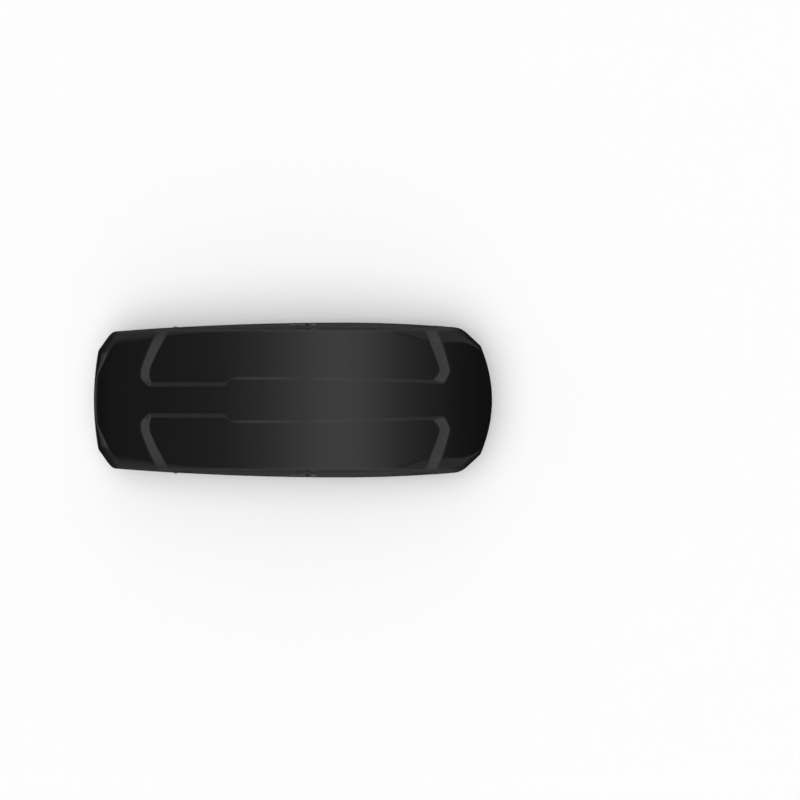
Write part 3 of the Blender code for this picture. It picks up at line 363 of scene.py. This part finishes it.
def from_front(spans):
    return tuple(HALF_LENGTH - span for span in spans)


REAR_BAND_OUTER = from_rear(REAR_BAND_START)
REAR_BAND_INNER = from_rear(REAR_BAND_END)
FRONT_BAND_OUTER = from_front(FRONT_BAND_START)
FRONT_BAND_INNER = from_front(FRONT_BAND_END)


def ease(amount, span):
    """0 before a span, 1 past it, with both ends level."""
    share = min(max((amount - span[0]) / (span[1] - span[0]), 0.0), 1.0)
    return share * share * (3 - 2 * share)


def spine_edge(x):
    """Half-width of the raised spine, with its jog."""
    if x < SPINE_JOG_START:
        return SPINE_REAR
    if x < SPINE_JOG_END:
        return SPINE_REAR + (SPINE_MIDDLE - SPINE_REAR) * ease(x, (SPINE_JOG_START, SPINE_JOG_END))
    if x < SPINE_NARROWING_X:
        return SPINE_MIDDLE
    share = min((x - SPINE_NARROWING_X) / (FRONT_BAND_INNER[0] - SPINE_NARROWING_X), 1.0)
    return SPINE_MIDDLE + (SPINE_FRONT - SPINE_MIDDLE) * share


def step_width(x):
    """Width of the step beside the spine."""
    if x <= STEP_WIDTHS[0][0]:
        return STEP_WIDTHS[0][1]
    for (start, first), (end, second) in zip(STEP_WIDTHS, STEP_WIDTHS[1:]):
        if x <= end:
            return first + (second - first) * (x - start) / (end - start)
    return STEP_WIDTHS[-1][1]


def soft_positive(amount, softness):
    """The amount where it is positive, else 0, with the bend rounded."""
    if amount <= -softness:
        return 0.0
    if amount >= softness:
        return amount
    return (amount + softness) ** 2 / (4 * softness)


def band_share(x, y, outer, inner, hook):
    """0 before a band and 1 past it: beside the spine the band hooks inwards."""
    start, run, shifts = hook
    turn = math.copysign(soft_positive((start - y) / run, HOOK_SOFTNESS), inner - outer)
    band_start = outer + shifts[0] * turn
    band_end = inner + shifts[1] * turn
    return (x - band_start) / (band_end - band_start)


def panel_share(station, y):
    """0 on the spine, nose and tail, 1 in the sunk panels."""
    x = station[0]
    rear = band_share(x, y, REAR_BAND_OUTER[0], REAR_BAND_INNER[0], REAR_HOOK)
    front = band_share(x, y, FRONT_BAND_OUTER[0], FRONT_BAND_INNER[0], FRONT_HOOK)
    inner = (y - spine_edge(x)) / step_width(x)
    share = smooth_min(smooth_min(rear, front, CORNER_SOFTNESS), inner, CORNER_SOFTNESS)
    return soft_positive(share, EDGE_SOFTNESS) - soft_positive(share - 1.0, EDGE_SOFTNESS)


def edge_distances(x, y, plan, half):
    """Distances of a point to the shoulder at the side and at the nearer end."""
    if x < 0:
        return half - y, x - rear_x(plan[1]) * (1 - TAIL_INSET / HALF_LENGTH)
    return half - y, front_x(plan[1]) * (1 - NOSE_INSET / HALF_LENGTH) - x


def facet_drop(x, y, side, end):
    """Depth of the facets at the nose and the tail and of the curve along the rear sides."""
    if x > 0:
        width = FRONT_FACET_WIDTH * ease(x, FRONT_FACET_SPAN)
        return FRONT_FACET_SLOPE * soft_positive(width - side, FACET_SOFTNESS / 2)
    width = REAR_CURVE_WIDTH * ease(-x, REAR_CURVE_SPAN)
    along = REAR_CURVE_SLOPE * max(width - side, 0.0) ** 2 / (2 * REAR_CURVE_WIDTH)
    tail_width = TAIL_FACET_WIDTH * ease(y, TAIL_FACET_SPAN)
    behind = TAIL_FACET_SLOPE * soft_positive(tail_width - end, FACET_SOFTNESS / 2)
    return (along ** 3 + behind ** 3) ** (1 / 3)


def rounded_edge(side, end):
    """How far the shoulder's round edge lies under the crown."""
    near = smooth_min(side / SIDE_ROUND, end / END_ROUND, ROUND_BLEND / END_ROUND)
    rest = 1 - max(min(near, 1.0), 0.0)
    return SIDE_ROUND * (1 - math.sqrt(1 - rest * rest))


def inwards(end, amount):
    """A station pair moved along the lid towards its middle."""
    return tuple(x - math.copysign(amount, x) for x in end)


LID_GUIDES = (
    REAR_END,
    inwards(REAR_END, END_ROUND),
    REAR_BAND_OUTER,
    REAR_BAND_INNER,
    inwards(REAR_BAND_INNER, REAR_HOOK_GUIDE),
    (SPINE_JOG_START, SPINE_JOG_START),
    (SPINE_JOG_END, SPINE_JOG_END),
    inwards(FRONT_BAND_INNER, FRONT_HOOK_GUIDE),
    FRONT_BAND_INNER,
    FRONT_BAND_OUTER,
    inwards(FRONT_END, END_ROUND),
    FRONT_END,
)


def lid_row(station):
    """Points of one crosswise line over the lid, from the centre to the shoulder."""
    half = side_y(station[1]) * shoulder_ratio(station[1])
    edge = spine_edge(station[0]) / half
    step_start = edge - STEP_OVERLAP * step_width(station[0]) / half
    step_end = edge + (1 + STEP_OVERLAP) * step_width(station[0]) / half
    round_start = 1 - SIDE_ROUND / half
    shares = [step_start * step / SPINE_STEPS for step in range(SPINE_STEPS)]
    shares += [step_start + (step_end - step_start) * step / STEP_STEPS for step in range(STEP_STEPS)]
    shares += [step_end + (round_start - step_end) * step / PANEL_STEPS for step in range(PANEL_STEPS)]
    for step in range(ROUND_STEPS + 1):
        shares.append(1 - (1 - round_start) * (1 - step / ROUND_STEPS) ** SHOULDER_CROWDING)
    row = []
    for share in shares:
        plan = plan_point(station, share)
        x, y = lean_in(*plan, 1.0)
        side, end = edge_distances(x, y, plan, half)
        z = RIM_Z + crown(x, y) - CROWN_ALLOWANCE - PANEL_DEPTH * panel_share(station, y)
        z -= facet_drop(x, y, side, end) + rounded_edge(side, end)
        row.append(((x, y, z), plan))
    return row


def boundary(grid):
    """The outer edge of a half grid, from the rear centre to the front centre."""
    last = len(grid[0]) - 1
    return grid[0][:last] + [row[last] for row in grid] + grid[-1][:last][::-1]


def add_grid(shape, rows):
    for first, second in zip(rows, rows[1:]):
        for index in range(len(first) - 1):
            shape.faces.new((first[index], second[index], second[index + 1], first[index + 1]))


def wall_point(plan, shoulder, share):
    """A point of the lid's wall: share 0 is the rim, 1 the shoulder, with a knee between."""
    rise = shoulder[2] - RIM_Z
    knee = min(KNEE_HEIGHT, KNEE_SHARE * rise)
    if share < KNEE_SHARE:
        height = LID_RIM_GAP + (knee - LID_RIM_GAP) * share / KNEE_SHARE
    else:
        height = knee + (rise - knee) * (share - KNEE_SHARE) / (1 - KNEE_SHARE)
    return (*lean_in(*plan, share), RIM_Z + height)


# Mesh helpers

def new_piece(name, shape):
    mesh = bpy.data.meshes.new(name)
    shape.to_mesh(mesh)
    shape.free()
    item = bpy.data.objects.new(name, mesh)
    bpy.context.scene.collection.objects.link(item)
    return item


def bake(item):
    """Turn an object's modifiers into its mesh."""
    evaluated = item.evaluated_get(bpy.context.evaluated_depsgraph_get())
    mesh = bpy.data.meshes.new_from_object(evaluated)
    old = item.data
    item.modifiers.clear()
    item.data = mesh
    bpy.data.meshes.remove(old)


def smooth(item, degrees):
    item.data.shade_smooth()
    item.data.set_sharp_from_angle(angle=math.radians(degrees))


def soften(item, width, degrees):
    """Round the edges that are sharper than an angle."""
    bevel = item.modifiers.new("soft_edges", "BEVEL")
    bevel.width = width
    bevel.segments = ROUND_SEGMENTS
    bevel.limit_method = "ANGLE"
    bevel.angle_limit = math.radians(degrees)


def mirror_and_thicken(item):
    """Make a sheet of both halves from the outer face of one; a second finish goes inside."""
    mirror = item.modifiers.new("other_half", "MIRROR")
    mirror.use_axis = (False, True, False)
    mirror.merge_threshold = MIRROR_WELD
    sheet = item.modifiers.new("sheet", "SOLIDIFY")
    sheet.thickness = SHEET
    sheet.offset = -1.0
    sheet.use_even_offset = True
    sheet.material_offset = 1
    sheet.material_offset_rim = 1


def cut_with(item, cutters):
    """Take cutters out of an object and remove them."""
    for cutter in cutters:
        modifier = item.modifiers.new(cutter.name, "BOOLEAN")
        modifier.object = cutter
    bake(item)
    for cutter in cutters:
        bpy.data.objects.remove(cutter, do_unlink=True)


def prism_y(name, outline, low, high):
    """A cutter from an outline of (x, z) points between two y."""
    shape = bmesh.new()
    near = [shape.verts.new((x, low, z)) for x, z in outline]
    far = [shape.verts.new((x, high, z)) for x, z in outline]
    shape.faces.new(near)
    shape.faces.new(far)
    for index in range(len(outline)):
        following = (index + 1) % len(outline)
        shape.faces.new((near[index], near[following], far[following], far[index]))
    bmesh.ops.recalc_face_normals(shape, faces=shape.faces)
    return new_piece(name, shape)


def box_cutter(name, xs, ys, zs):
    """A cutter between two x, two y and two z."""
    outline = [(xs[0], zs[0]), (xs[1], zs[0]), (xs[1], zs[1]), (xs[0], zs[1])]
    return prism_y(name, outline, *sorted(ys))


# The lid as one piece

def rail_windows():
    """Cutters of the lid's two windows, a gap wider than the rails."""
    low = RIM_Z - CUT_MARGIN
    top = RIM_Z + KNEE_HEIGHT + RAIL_LID_GAP
    end = RIM_Z + RAIL_END_HEIGHT + RAIL_LID_GAP
    rear, front = RAIL_REAR_X - RAIL_LID_GAP, RAIL_FRONT_X + RAIL_LID_GAP
    outline = [(rear, low), (front, low), (front, end), (front - RAIL_FRONT_SLANT, top),
               (rear + RAIL_REAR_SLANT, top), (rear, end)]
    near, far = RAIL_INNER_Y - WINDOW_INNER_MARGIN, HALF_WIDTH + CUT_MARGIN
    return [prism_y("window_left", outline, near, far), prism_y("window_right", outline, -far, -near)]


def make_lid(finishes):
    """The lid's sheet, from its crown down its wall to the rim."""
    shape = bmesh.new()
    grid = [lid_row(station) for station in stations(LID_GUIDES, LID_COUNTS)]
    top = [[(shape.verts.new(point), point, plan) for point, plan in row] for row in grid]
    add_grid(shape, [[entry[0] for entry in row] for row in top])
    edge = boundary(top)
    rings = []
    for step in range(WALL_STEPS):
        share = step / WALL_STEPS
        rings.append([shape.verts.new(wall_point(plan, point, share)) for _, point, plan in edge])
    rings.append([entry[0] for entry in edge])
    add_grid(shape, rings)
    lid = new_piece("lid_skin", shape)
    lid.data.materials.append(finishes["gloss_black"])
    lid.data.materials.append(finishes["lid_inside"])
    mirror_and_thicken(lid)
    bake(lid)
    cut_with(lid, rail_windows())
    soften(lid, LID_EDGE_ROUND, LID_EDGE_ANGLE)
    bake(lid)
    smooth(lid, SHELL_SMOOTHING)
    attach(lid, "lid")
    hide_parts("lid_shell")


# Tray

TRAY_GUIDES = (REAR_END, from_rear(TRAY_END_SPAN), from_front(TRAY_END_SPAN), FRONT_END)


def tray_ring(plan, side_inset, end_inset, z):
    x, y = plan
    return x * (1 - end_inset / HALF_LENGTH), y * (1 - side_inset / bowed_side(x)), z


def tray_profile():
    """Side inset, end inset and height of each bend, from the flange to the floor."""
    ridge_end = RIDGE_INSET + RIDGE_WIDTH
    return (
        (FLANGE_EDGE_INSET, FLANGE_EDGE_INSET, RIM_Z),
        (FLANGE_INSET, FLANGE_INSET, RIM_Z),
        (RIDGE_INSET, RIDGE_INSET, RIM_Z + RIDGE_HEIGHT),
        (ridge_end, ridge_end, RIM_Z + RIDGE_HEIGHT),
        (ridge_end + RIM_BEND[0], ridge_end + RIM_BEND[1], RIM_Z - RIM_BEND[2]),
        (ridge_end + WALL_BEND[0], ridge_end + WALL_BEND[1], RIM_Z - WALL_BEND[2]),
        (ridge_end + FOOT_BEND[0], ridge_end + FOOT_BEND[1], FLOOR_Z + FOOT_BEND[2]),
        (FLOOR_INSET, FLOOR_END_INSET, FLOOR_Z),
    )


def rounded_bends(points):
    """A run of points with every inner bend rounded within its shorter side."""
    result = [points[0]]
    for before, bend, after in zip(points, points[1:], points[2:]):
        reach = BEND_SHARE * min(math.dist(before, bend), math.dist(bend, after))
        start = Vector(bend) + (Vector(before) - Vector(bend)).normalized() * reach
        end = Vector(bend) + (Vector(after) - Vector(bend)).normalized() * reach
        for step in range(BEND_STEPS + 1):
            share = step / BEND_STEPS
            first = start.lerp(Vector(bend), share)
            result.append(tuple(first.lerp(Vector(bend).lerp(end, share), share)))
    result.append(points[-1])
    return result


def rib_rise(x, y):
    """Height of the pressed ribs across the floor."""
    across = 1 - ease(y, (RIB_TOP_Y, RIB_FOOT_Y))
    nearest = min(abs(x - rib) for rib in RIB_XS)
    return RIB_HEIGHT * across * (1 - ease(nearest, (RIB_HALF_WIDTH, RIB_HALF_WIDTH + RIB_FLANK)))


def tray_cutters():
    """Cutters of the jaw slots in the floor and the notches in the flange."""
    cutters = []
    slot_zs = (FLOOR_Z - CUT_MARGIN, FLOOR_Z + CUT_MARGIN)
    notch_zs = (RIM_Z - CUT_MARGIN, RIM_Z + NOTCH_TOP)
    for side in (1, -1):
        slot_ys = (side * (SLOT_Y - SLOT_HALF), side * (SLOT_Y + SLOT_HALF))
        notch_ys = (side * (HALF_WIDTH - NOTCH_INSET), side * (HALF_WIDTH + CUT_MARGIN))
        for index, xs in enumerate(SLOTS):
            cutters.append(box_cutter(f"jaw_slot_{index}_{side}", xs, slot_ys, slot_zs))
        for index, xs in enumerate(NOTCHES):
            cutters.append(box_cutter(f"notch_{index}_{side}", xs, notch_ys, notch_zs))
    return cutters


def make_tray(finishes):
    """The tray's sheet, from its ribbed floor up its bent walls to the flange."""
    shape = bmesh.new()
    plan = [[plan_point(station, line / TRAY_LINES) for line in range(TRAY_LINES + 1)]
            for station in stations(TRAY_GUIDES, TRAY_COUNTS)]
    floor = []
    for row in plan:
        floor.append([])
        for point in row:
            x, y, z = tray_ring(point, FLOOR_INSET, FLOOR_END_INSET, FLOOR_Z)
            floor[-1].append(shape.verts.new((x, y, z + rib_rise(x, y))))
    add_grid(shape, floor)
    edge = boundary(plan)
    rings = []
    for level in rounded_bends(tray_profile())[:-1]:
        rings.append([shape.verts.new(tray_ring(point, *level)) for point in edge])
    rings.append(boundary(floor))
    add_grid(shape, rings)
    tray = new_piece("tray_skin", shape)
    tray.data.materials.append(finishes["tray_black"])
    mirror_and_thicken(tray)
    bake(tray)
    cut_with(tray, tray_cutters())
    smooth(tray, SHELL_SMOOTHING)
    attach(tray, "base")
    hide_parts("base_shell")


# Finishes

def link(tree, source, output, target, socket):
    tree.links.new(source.outputs[output], target.inputs[socket])


def noise(tree, scale, detail=2.0, stretch=None):
    """Noise in the object's own space."""
    texture = tree.nodes.new("ShaderNodeTexNoise")
    texture.inputs["Scale"].default_value = scale
    texture.inputs["Detail"].default_value = detail
    where = tree.nodes.new("ShaderNodeTexCoord")
    if stretch:
        mapping = tree.nodes.new("ShaderNodeMapping")
        mapping.inputs["Scale"].default_value = stretch
        link(tree, where, "Object", mapping, "Vector")
        link(tree, mapping, "Vector", texture, "Vector")
    else:
        link(tree, where, "Object", texture, "Vector")
    return texture


def spread(tree, texture, low, high):
    """Noise mapped to a range of values."""
    change = tree.nodes.new("ShaderNodeMapRange")
    change.inputs["From Min"].default_value = NOISE_SPAN[0]
    change.inputs["From Max"].default_value = NOISE_SPAN[1]
    change.inputs["To Min"].default_value = low
    change.inputs["To Max"].default_value = high
    link(tree, texture, "Fac", change, "Value")
    return change


def finish(name, dark, light, roughness, grain, bump, metallic=0.0, specular=0.5, stretch=None, drift=3.0):
    """A finish with drifting colour and roughness and a fine surface grain."""
    material = bpy.data.materials.new(name)
    material.use_nodes = True
    tree = material.node_tree
    shader = tree.nodes["Principled BSDF"]
    shader.inputs["Metallic"].default_value = metallic
    shader.inputs["Specular IOR Level"].default_value = specular
    cloud = noise(tree, drift, 3.0)
    blend = tree.nodes.new("ShaderNodeMix")
    blend.data_type = "RGBA"
    blend.inputs[6].default_value = (*dark, 1.0)
    blend.inputs[7].default_value = (*light, 1.0)
    tree.links.new(spread(tree, cloud, 0.0, 1.0).outputs[0], blend.inputs[0])
    tree.links.new(blend.outputs[2], shader.inputs["Base Color"])
    worn = noise(tree, drift * WEAR_SCALE, 4.0)
    tree.links.new(spread(tree, worn, *roughness).outputs[0], shader.inputs["Roughness"])
    surface = noise(tree, grain, 3.0, stretch)
    relief = tree.nodes.new("ShaderNodeBump")
    relief.inputs["Strength"].default_value = bump[0]
    relief.inputs["Distance"].default_value = bump[1]
    link(tree, surface, "Fac", relief, "Height")
    link(tree, relief, "Normal", shader, "Normal")
    return material


def grey(value, warmth=0.0):
    return (value * (1 + warmth), value, value * (1 - warmth))


def make_finishes():
    brushed = (1.0, 30.0, 30.0)
    return {
        "gloss_black": finish("gloss_black", grey(0.0030), grey(0.0036), (0.13, 0.16), 260.0, (0.02, 0.0002)),
        "rail_black": finish("rail_black", grey(0.0040), grey(0.0055), (0.20, 0.28), 500.0, (0.05, 0.0002)),
        "tray_black": finish("tray_black", grey(0.018), grey(0.025), (0.44, 0.56), 900.0, (0.30, 0.0004)),
        "trim_black": finish("trim_black", grey(0.016), grey(0.023), (0.38, 0.50), 1200.0, (0.20, 0.0003)),
        "grip_grey": finish("grip_grey", grey(0.030), grey(0.042), (0.38, 0.48), 1200.0, (0.20, 0.0003)),
        "knob_grey": finish("knob_grey", grey(0.040), grey(0.055), (0.42, 0.55), 1200.0, (0.25, 0.0003)),
        "jaw_grey": finish("jaw_grey", grey(0.030), grey(0.045), (0.45, 0.58), 700.0, (0.30, 0.0003)),
        "tube_black": finish("tube_black", grey(0.010), grey(0.013), (0.28, 0.36), 800.0, (0.08, 0.0002)),
        "steel": finish("steel", grey(0.42, 0.02), grey(0.55, 0.03), (0.26, 0.42), 90.0, (0.10, 0.0002), 1.0,
                        stretch=brushed),
        "aluminium": finish("aluminium", grey(0.60), grey(0.70), (0.30, 0.45), 60.0, (0.10, 0.0002), 1.0,
                            stretch=brushed),
        "lid_inside": finish("lid_inside", grey(0.019), grey(0.026), (0.46, 0.58), 700.0, (0.25, 0.0003)),
        "rubber": finish("rubber", grey(0.012), grey(0.018), (0.70, 0.85), 1500.0, (0.40, 0.0004)),
    }


def refined(name, solid, width):
    """A copy of a solid with its points joined, its edges rounded and its curves shaded smooth."""
    shape = bmesh.new()
    shape.from_mesh(solid.data)
    shape.transform(solid.matrix_world)
    bmesh.ops.remove_doubles(shape, verts=shape.verts, dist=WELD_DISTANCE)
    bmesh.ops.dissolve_limit(shape, angle_limit=math.radians(FLAT_ANGLE),
                             verts=shape.verts, edges=shape.edges)
    for face in shape.faces:
        face.smooth = True
    for edge in shape.edges:
        edge.smooth = True
    copy = new_piece(name + "_fine", shape)
    soften(copy, width, SOLID_EDGE_ANGLE)
    bake(copy)
    smooth(copy, SOLID_SMOOTHING)
    return copy


def dress_nodes(finishes):
    """Give every solid but the two shells its finish, on a copy with rounded edges."""
    slots = {part["node"]: part["material_slot"] for part in frame["record"]["subparts"]}
    bodies = {node: body for body, nodes in frame["record"]["behaviour"]["bodies"].items() for node in nodes}
    for name, solid in frame["nodes"].items():
        solid.data.materials.clear()
        solid.data.materials.append(finishes[slots[name]])
        if name in ("lid_shell", "base_shell"):
            continue
        copy = refined(name, solid, EDGE_ROUNDS.get(slots[name], OTHER_EDGE_ROUND))
        copy.data.materials.clear()
        copy.data.materials.append(finishes[slots[name]])
        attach(copy, bodies[name])
        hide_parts(name)


# Small fasteners, and the painted shade of the keyways

def seat(node, start, direction):
    """Where a ray meets a solid, as a place with its z axis along the surface's normal."""
    solid = frame["nodes"][node]
    corners = [solid.matrix_world @ corner.co for corner in solid.data.vertices]
    surface = BVHTree.FromPolygons(corners, [face.vertices for face in solid.data.polygons])
    point, normal, _, _ = surface.ray_cast(Vector(start), Vector(direction))
    if point is None:
        raise RuntimeError("no surface of " + node + " at " + str(start))
    turn = normal.to_track_quat("Z", "X").to_matrix().to_4x4()
    return Matrix.Translation(point + normal * SEAT_GAP) @ turn


def turned(shape, profile, place):
    """Turn a profile of (radius, height) points about the z axis of a place."""
    rings = []
    for radius, height in profile:
        ring = []
        for side in range(HEAD_SIDES):
            angle = 2 * math.pi * side / HEAD_SIDES
            corner = Vector((radius * math.cos(angle), radius * math.sin(angle), height))
            ring.append(shape.verts.new(place @ corner))
        rings.append(ring)
    for low, high in zip(rings, rings[1:]):
        for side in range(HEAD_SIDES):
            following = (side + 1) % HEAD_SIDES
            shape.faces.new((low[side], low[following], high[following], high[side]))
    shape.faces.new(rings[0][::-1])
    shape.faces.new(rings[-1])


def rivet_head():
    """Profile of a domed head: a short wall under a quarter round."""
    profile = [(RIVET_RADIUS, 0.0)]
    for step in range(RIVET_STEPS + 1):
        angle = math.pi / 2 * step / RIVET_STEPS
        across = RIVET_RADIUS * (math.cos(angle) + RIVET_FLAT)
        profile.append((across, RIVET_HEIGHT * (RIVET_WALL + (1 - RIVET_WALL) * math.sin(angle))))
    return profile


def screw_head():
    """Profile of a flat head with a round socket."""
    profile = [(SCREW_RADIUS * across, SCREW_HEIGHT * up) for across, up in SCREW_RIM]
    profile.append((SOCKET_RADIUS, SCREW_HEIGHT))
    profile.append((SOCKET_RADIUS, SCREW_HEIGHT - SOCKET_DEPTH))
    profile.append((SOCKET_RADIUS * SOCKET_TIP[0], SCREW_HEIGHT - SOCKET_DEPTH * SOCKET_TIP[1]))
    return profile


def heads(name, profile, places, body, slot, finishes):
    """Equal turned heads on one body, as one piece."""
    shape = bmesh.new()
    for place in places:
        turned(shape, profile, place)
    item = new_piece(name, shape)
    item.data.materials.append(finishes[slot])
    smooth(item, HEAD_SMOOTHING)
    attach(item, body)


def seats_on_top(node, xs):
    """Places on the top of a solid, along its middle."""
    low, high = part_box(node)
    middle = (low[1] + high[1]) / 2
    return [seat(node, (x, middle, high[2] + SEAT_SEARCH), (0, 0, -1)) for x in xs]


def add_floor_rivets(finishes):
    for side in ("left", "right"):
        places = seats_on_top("floor_rail_" + side, FLOOR_RAIL_RIVETS)
        heads("floor_rivets_" + side, rivet_head(), places, "base", "aluminium", finishes)


def add_clamp_screws(finishes):
    for end in ("rear", "front"):
        for side in ("left", "right"):
            node = "clamp_housing_" + end + "_" + side
            low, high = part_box(node)
            places = seats_on_top(node, (low[0] + CLAMP_SCREW_INSET, high[0] - CLAMP_SCREW_INSET))
            heads("clamp_screws_" + end + "_" + side, screw_head(), places, "base", "steel", finishes)


# Painted shade: a thin dark strip in the rubber finish, raised on each lock plug's face, stands in for the
# shade inside the keyway's opening
def add_keyway_shades(finishes):
    for side, sign in (("left", 1), ("right", -1)):
        node = "key_plug_" + side
        low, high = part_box(node)
        middle = [(a + b) / 2 for a, b in zip(low, high)]
        outer = high[1] if sign > 0 else low[1]
        place = seat(node, (middle[0], outer + SEAT_SEARCH * sign, middle[2] - KEYWAY_SHADE_DROP), (0, -sign, 0))
        shape = bmesh.new()
        bmesh.ops.create_cube(shape, size=1.0, matrix=place @ Matrix.Translation((0, 0, KEYWAY_SHADE[2] / 2))
                              @ Matrix.Diagonal((*KEYWAY_SHADE, 1.0)))
        item = new_piece("keyway_shade_" + side, shape)
        item.data.materials.append(finishes["rubber"])
        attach(item, "key_" + side)


# Studio

def add_floor():
    shape = bmesh.new()
    bmesh.ops.create_grid(shape, x_segments=1, y_segments=1, size=FLOOR_SIZE / 2)
    floor = new_piece("floor", shape)
    material = bpy.data.materials.new("floor")
    material.use_nodes = True
    shader = material.node_tree.nodes["Principled BSDF"]
    shader.inputs["Base Color"].default_value = (FLOOR_GREY, FLOOR_GREY, FLOOR_GREY, 1.0)
    shader.inputs["Roughness"].default_value = FLOOR_ROUGHNESS
    shader.inputs["Specular IOR Level"].default_value = 0.0
    floor.data.materials.append(material)
    floor.visible_glossy = False


def ramp_of(tree, stops, start, end):
    """A curve of strengths by angle in degrees, fed through a range from start to end."""
    share = tree.nodes.new("ShaderNodeMapRange")
    share.inputs["From Min"].default_value = math.radians(start)
    share.inputs["From Max"].default_value = math.radians(end)
    ramp = tree.nodes.new("ShaderNodeValToRGB")
    ramp.color_ramp.interpolation = "EASE"
    while len(ramp.color_ramp.elements) < len(stops):
        ramp.color_ramp.elements.new(0.5)
    for stop, (degrees, strength) in zip(ramp.color_ramp.elements, stops):
        stop.position = (degrees - start) / (end - start)
        stop.color = (strength, strength, strength, 1.0)
    link(tree, share, 0, ramp, "Fac")
    return share, ramp


def angle_of(tree, where, axis, operation):
    """Angle of a direction to an axis or to the plane across it."""
    along = tree.nodes.new("ShaderNodeVectorMath")
    along.operation = "DOT_PRODUCT"
    along.inputs[1].default_value = axis
    angle = tree.nodes.new("ShaderNodeMath")
    angle.operation = operation
    link(tree, where, "Generated", along, 0)
    link(tree, along, "Value", angle, 0)
    return angle


def add_sky():
    """A strip light across the box and dimmer lights beside it, fading below the horizon."""
    world = bpy.data.worlds.new("studio")
    bpy.context.scene.world = world
    world.use_nodes = True
    tree = world.node_tree
    where = tree.nodes.new("ShaderNodeTexCoord")
    lengthwise = angle_of(tree, where, (math.cos(SKY_TILT), 0.0, -math.sin(SKY_TILT)), "ARCSINE")
    strip_share, strip = ramp_of(tree, STRIP_STOPS, -90, 90)
    link(tree, lengthwise, 0, strip_share, "Value")
    sideways = tree.nodes.new("ShaderNodeMath")
    sideways.operation = "ABSOLUTE"
    link(tree, angle_of(tree, where, (0.0, 1.0, 0.0), "ARCSINE"), 0, sideways, 0)
    side_share, side = ramp_of(tree, SIDE_STOPS, 0, 90)
    link(tree, sideways, 0, side_share, "Value")
    brighter = tree.nodes.new("ShaderNodeVectorMath")
    brighter.operation = "MAXIMUM"
    link(tree, strip, "Color", brighter, 0)
    link(tree, side, "Color", brighter, 1)
    from_top = angle_of(tree, where, (0.0, 0.0, 1.0), "ARCCOSINE")
    fade_share, fade = ramp_of(tree, HORIZON_STOPS, 0, 180)
    link(tree, from_top, 0, fade_share, "Value")
    total = tree.nodes.new("ShaderNodeVectorMath")
    total.operation = "MULTIPLY"
    link(tree, brighter, "Vector", total, 0)
    link(tree, fade, "Color", total, 1)
    backdrop = tree.nodes.new("ShaderNodeMix")
    backdrop.data_type = "RGBA"
    backdrop.inputs[7].default_value = (BACKDROP, BACKDROP, BACKDROP, 1.0)
    rays = tree.nodes.new("ShaderNodeLightPath")
    link(tree, rays, "Is Camera Ray", backdrop, 0)
    tree.links.new(total.outputs["Vector"], backdrop.inputs[6])
    tree.links.new(backdrop.outputs[2], tree.nodes["Background"].inputs["Color"])


def add_lamp():
    """Wide soft light from above that the gloss doesn't mirror."""
    data = bpy.data.lights.new("lamp", "SUN")
    data.energy = LAMP_STRENGTH
    data.angle = math.radians(LAMP_WIDTH)
    lamp = bpy.data.objects.new("lamp", data)
    lamp.rotation_euler = (math.radians(LAMP_TILT[0]), math.radians(LAMP_TILT[1]), 0.0)
    lamp.visible_glossy = False
    bpy.context.scene.collection.objects.link(lamp)


def add_camera():
    data = bpy.data.cameras.new("camera")
    data.lens = CAMERA_LENS
    data.sensor_width = SENSOR_WIDTH
    camera = bpy.data.objects.new("camera", data)
    camera.location = (CAMERA_X, 0.0, RIM_Z + CAMERA_HEIGHT)
    bpy.context.scene.collection.objects.link(camera)
    bpy.context.scene.camera = camera


# The whole scene

FINISHES = make_finishes()
dress_nodes(FINISHES)
make_lid(FINISHES)
make_tray(FINISHES)
add_floor_rivets(FINISHES)
add_clamp_screws(FINISHES)
add_keyway_shades(FINISHES)
add_floor()
add_sky()
add_lamp()
add_camera()
bpy.context.scene.view_settings.view_transform = "Standard"
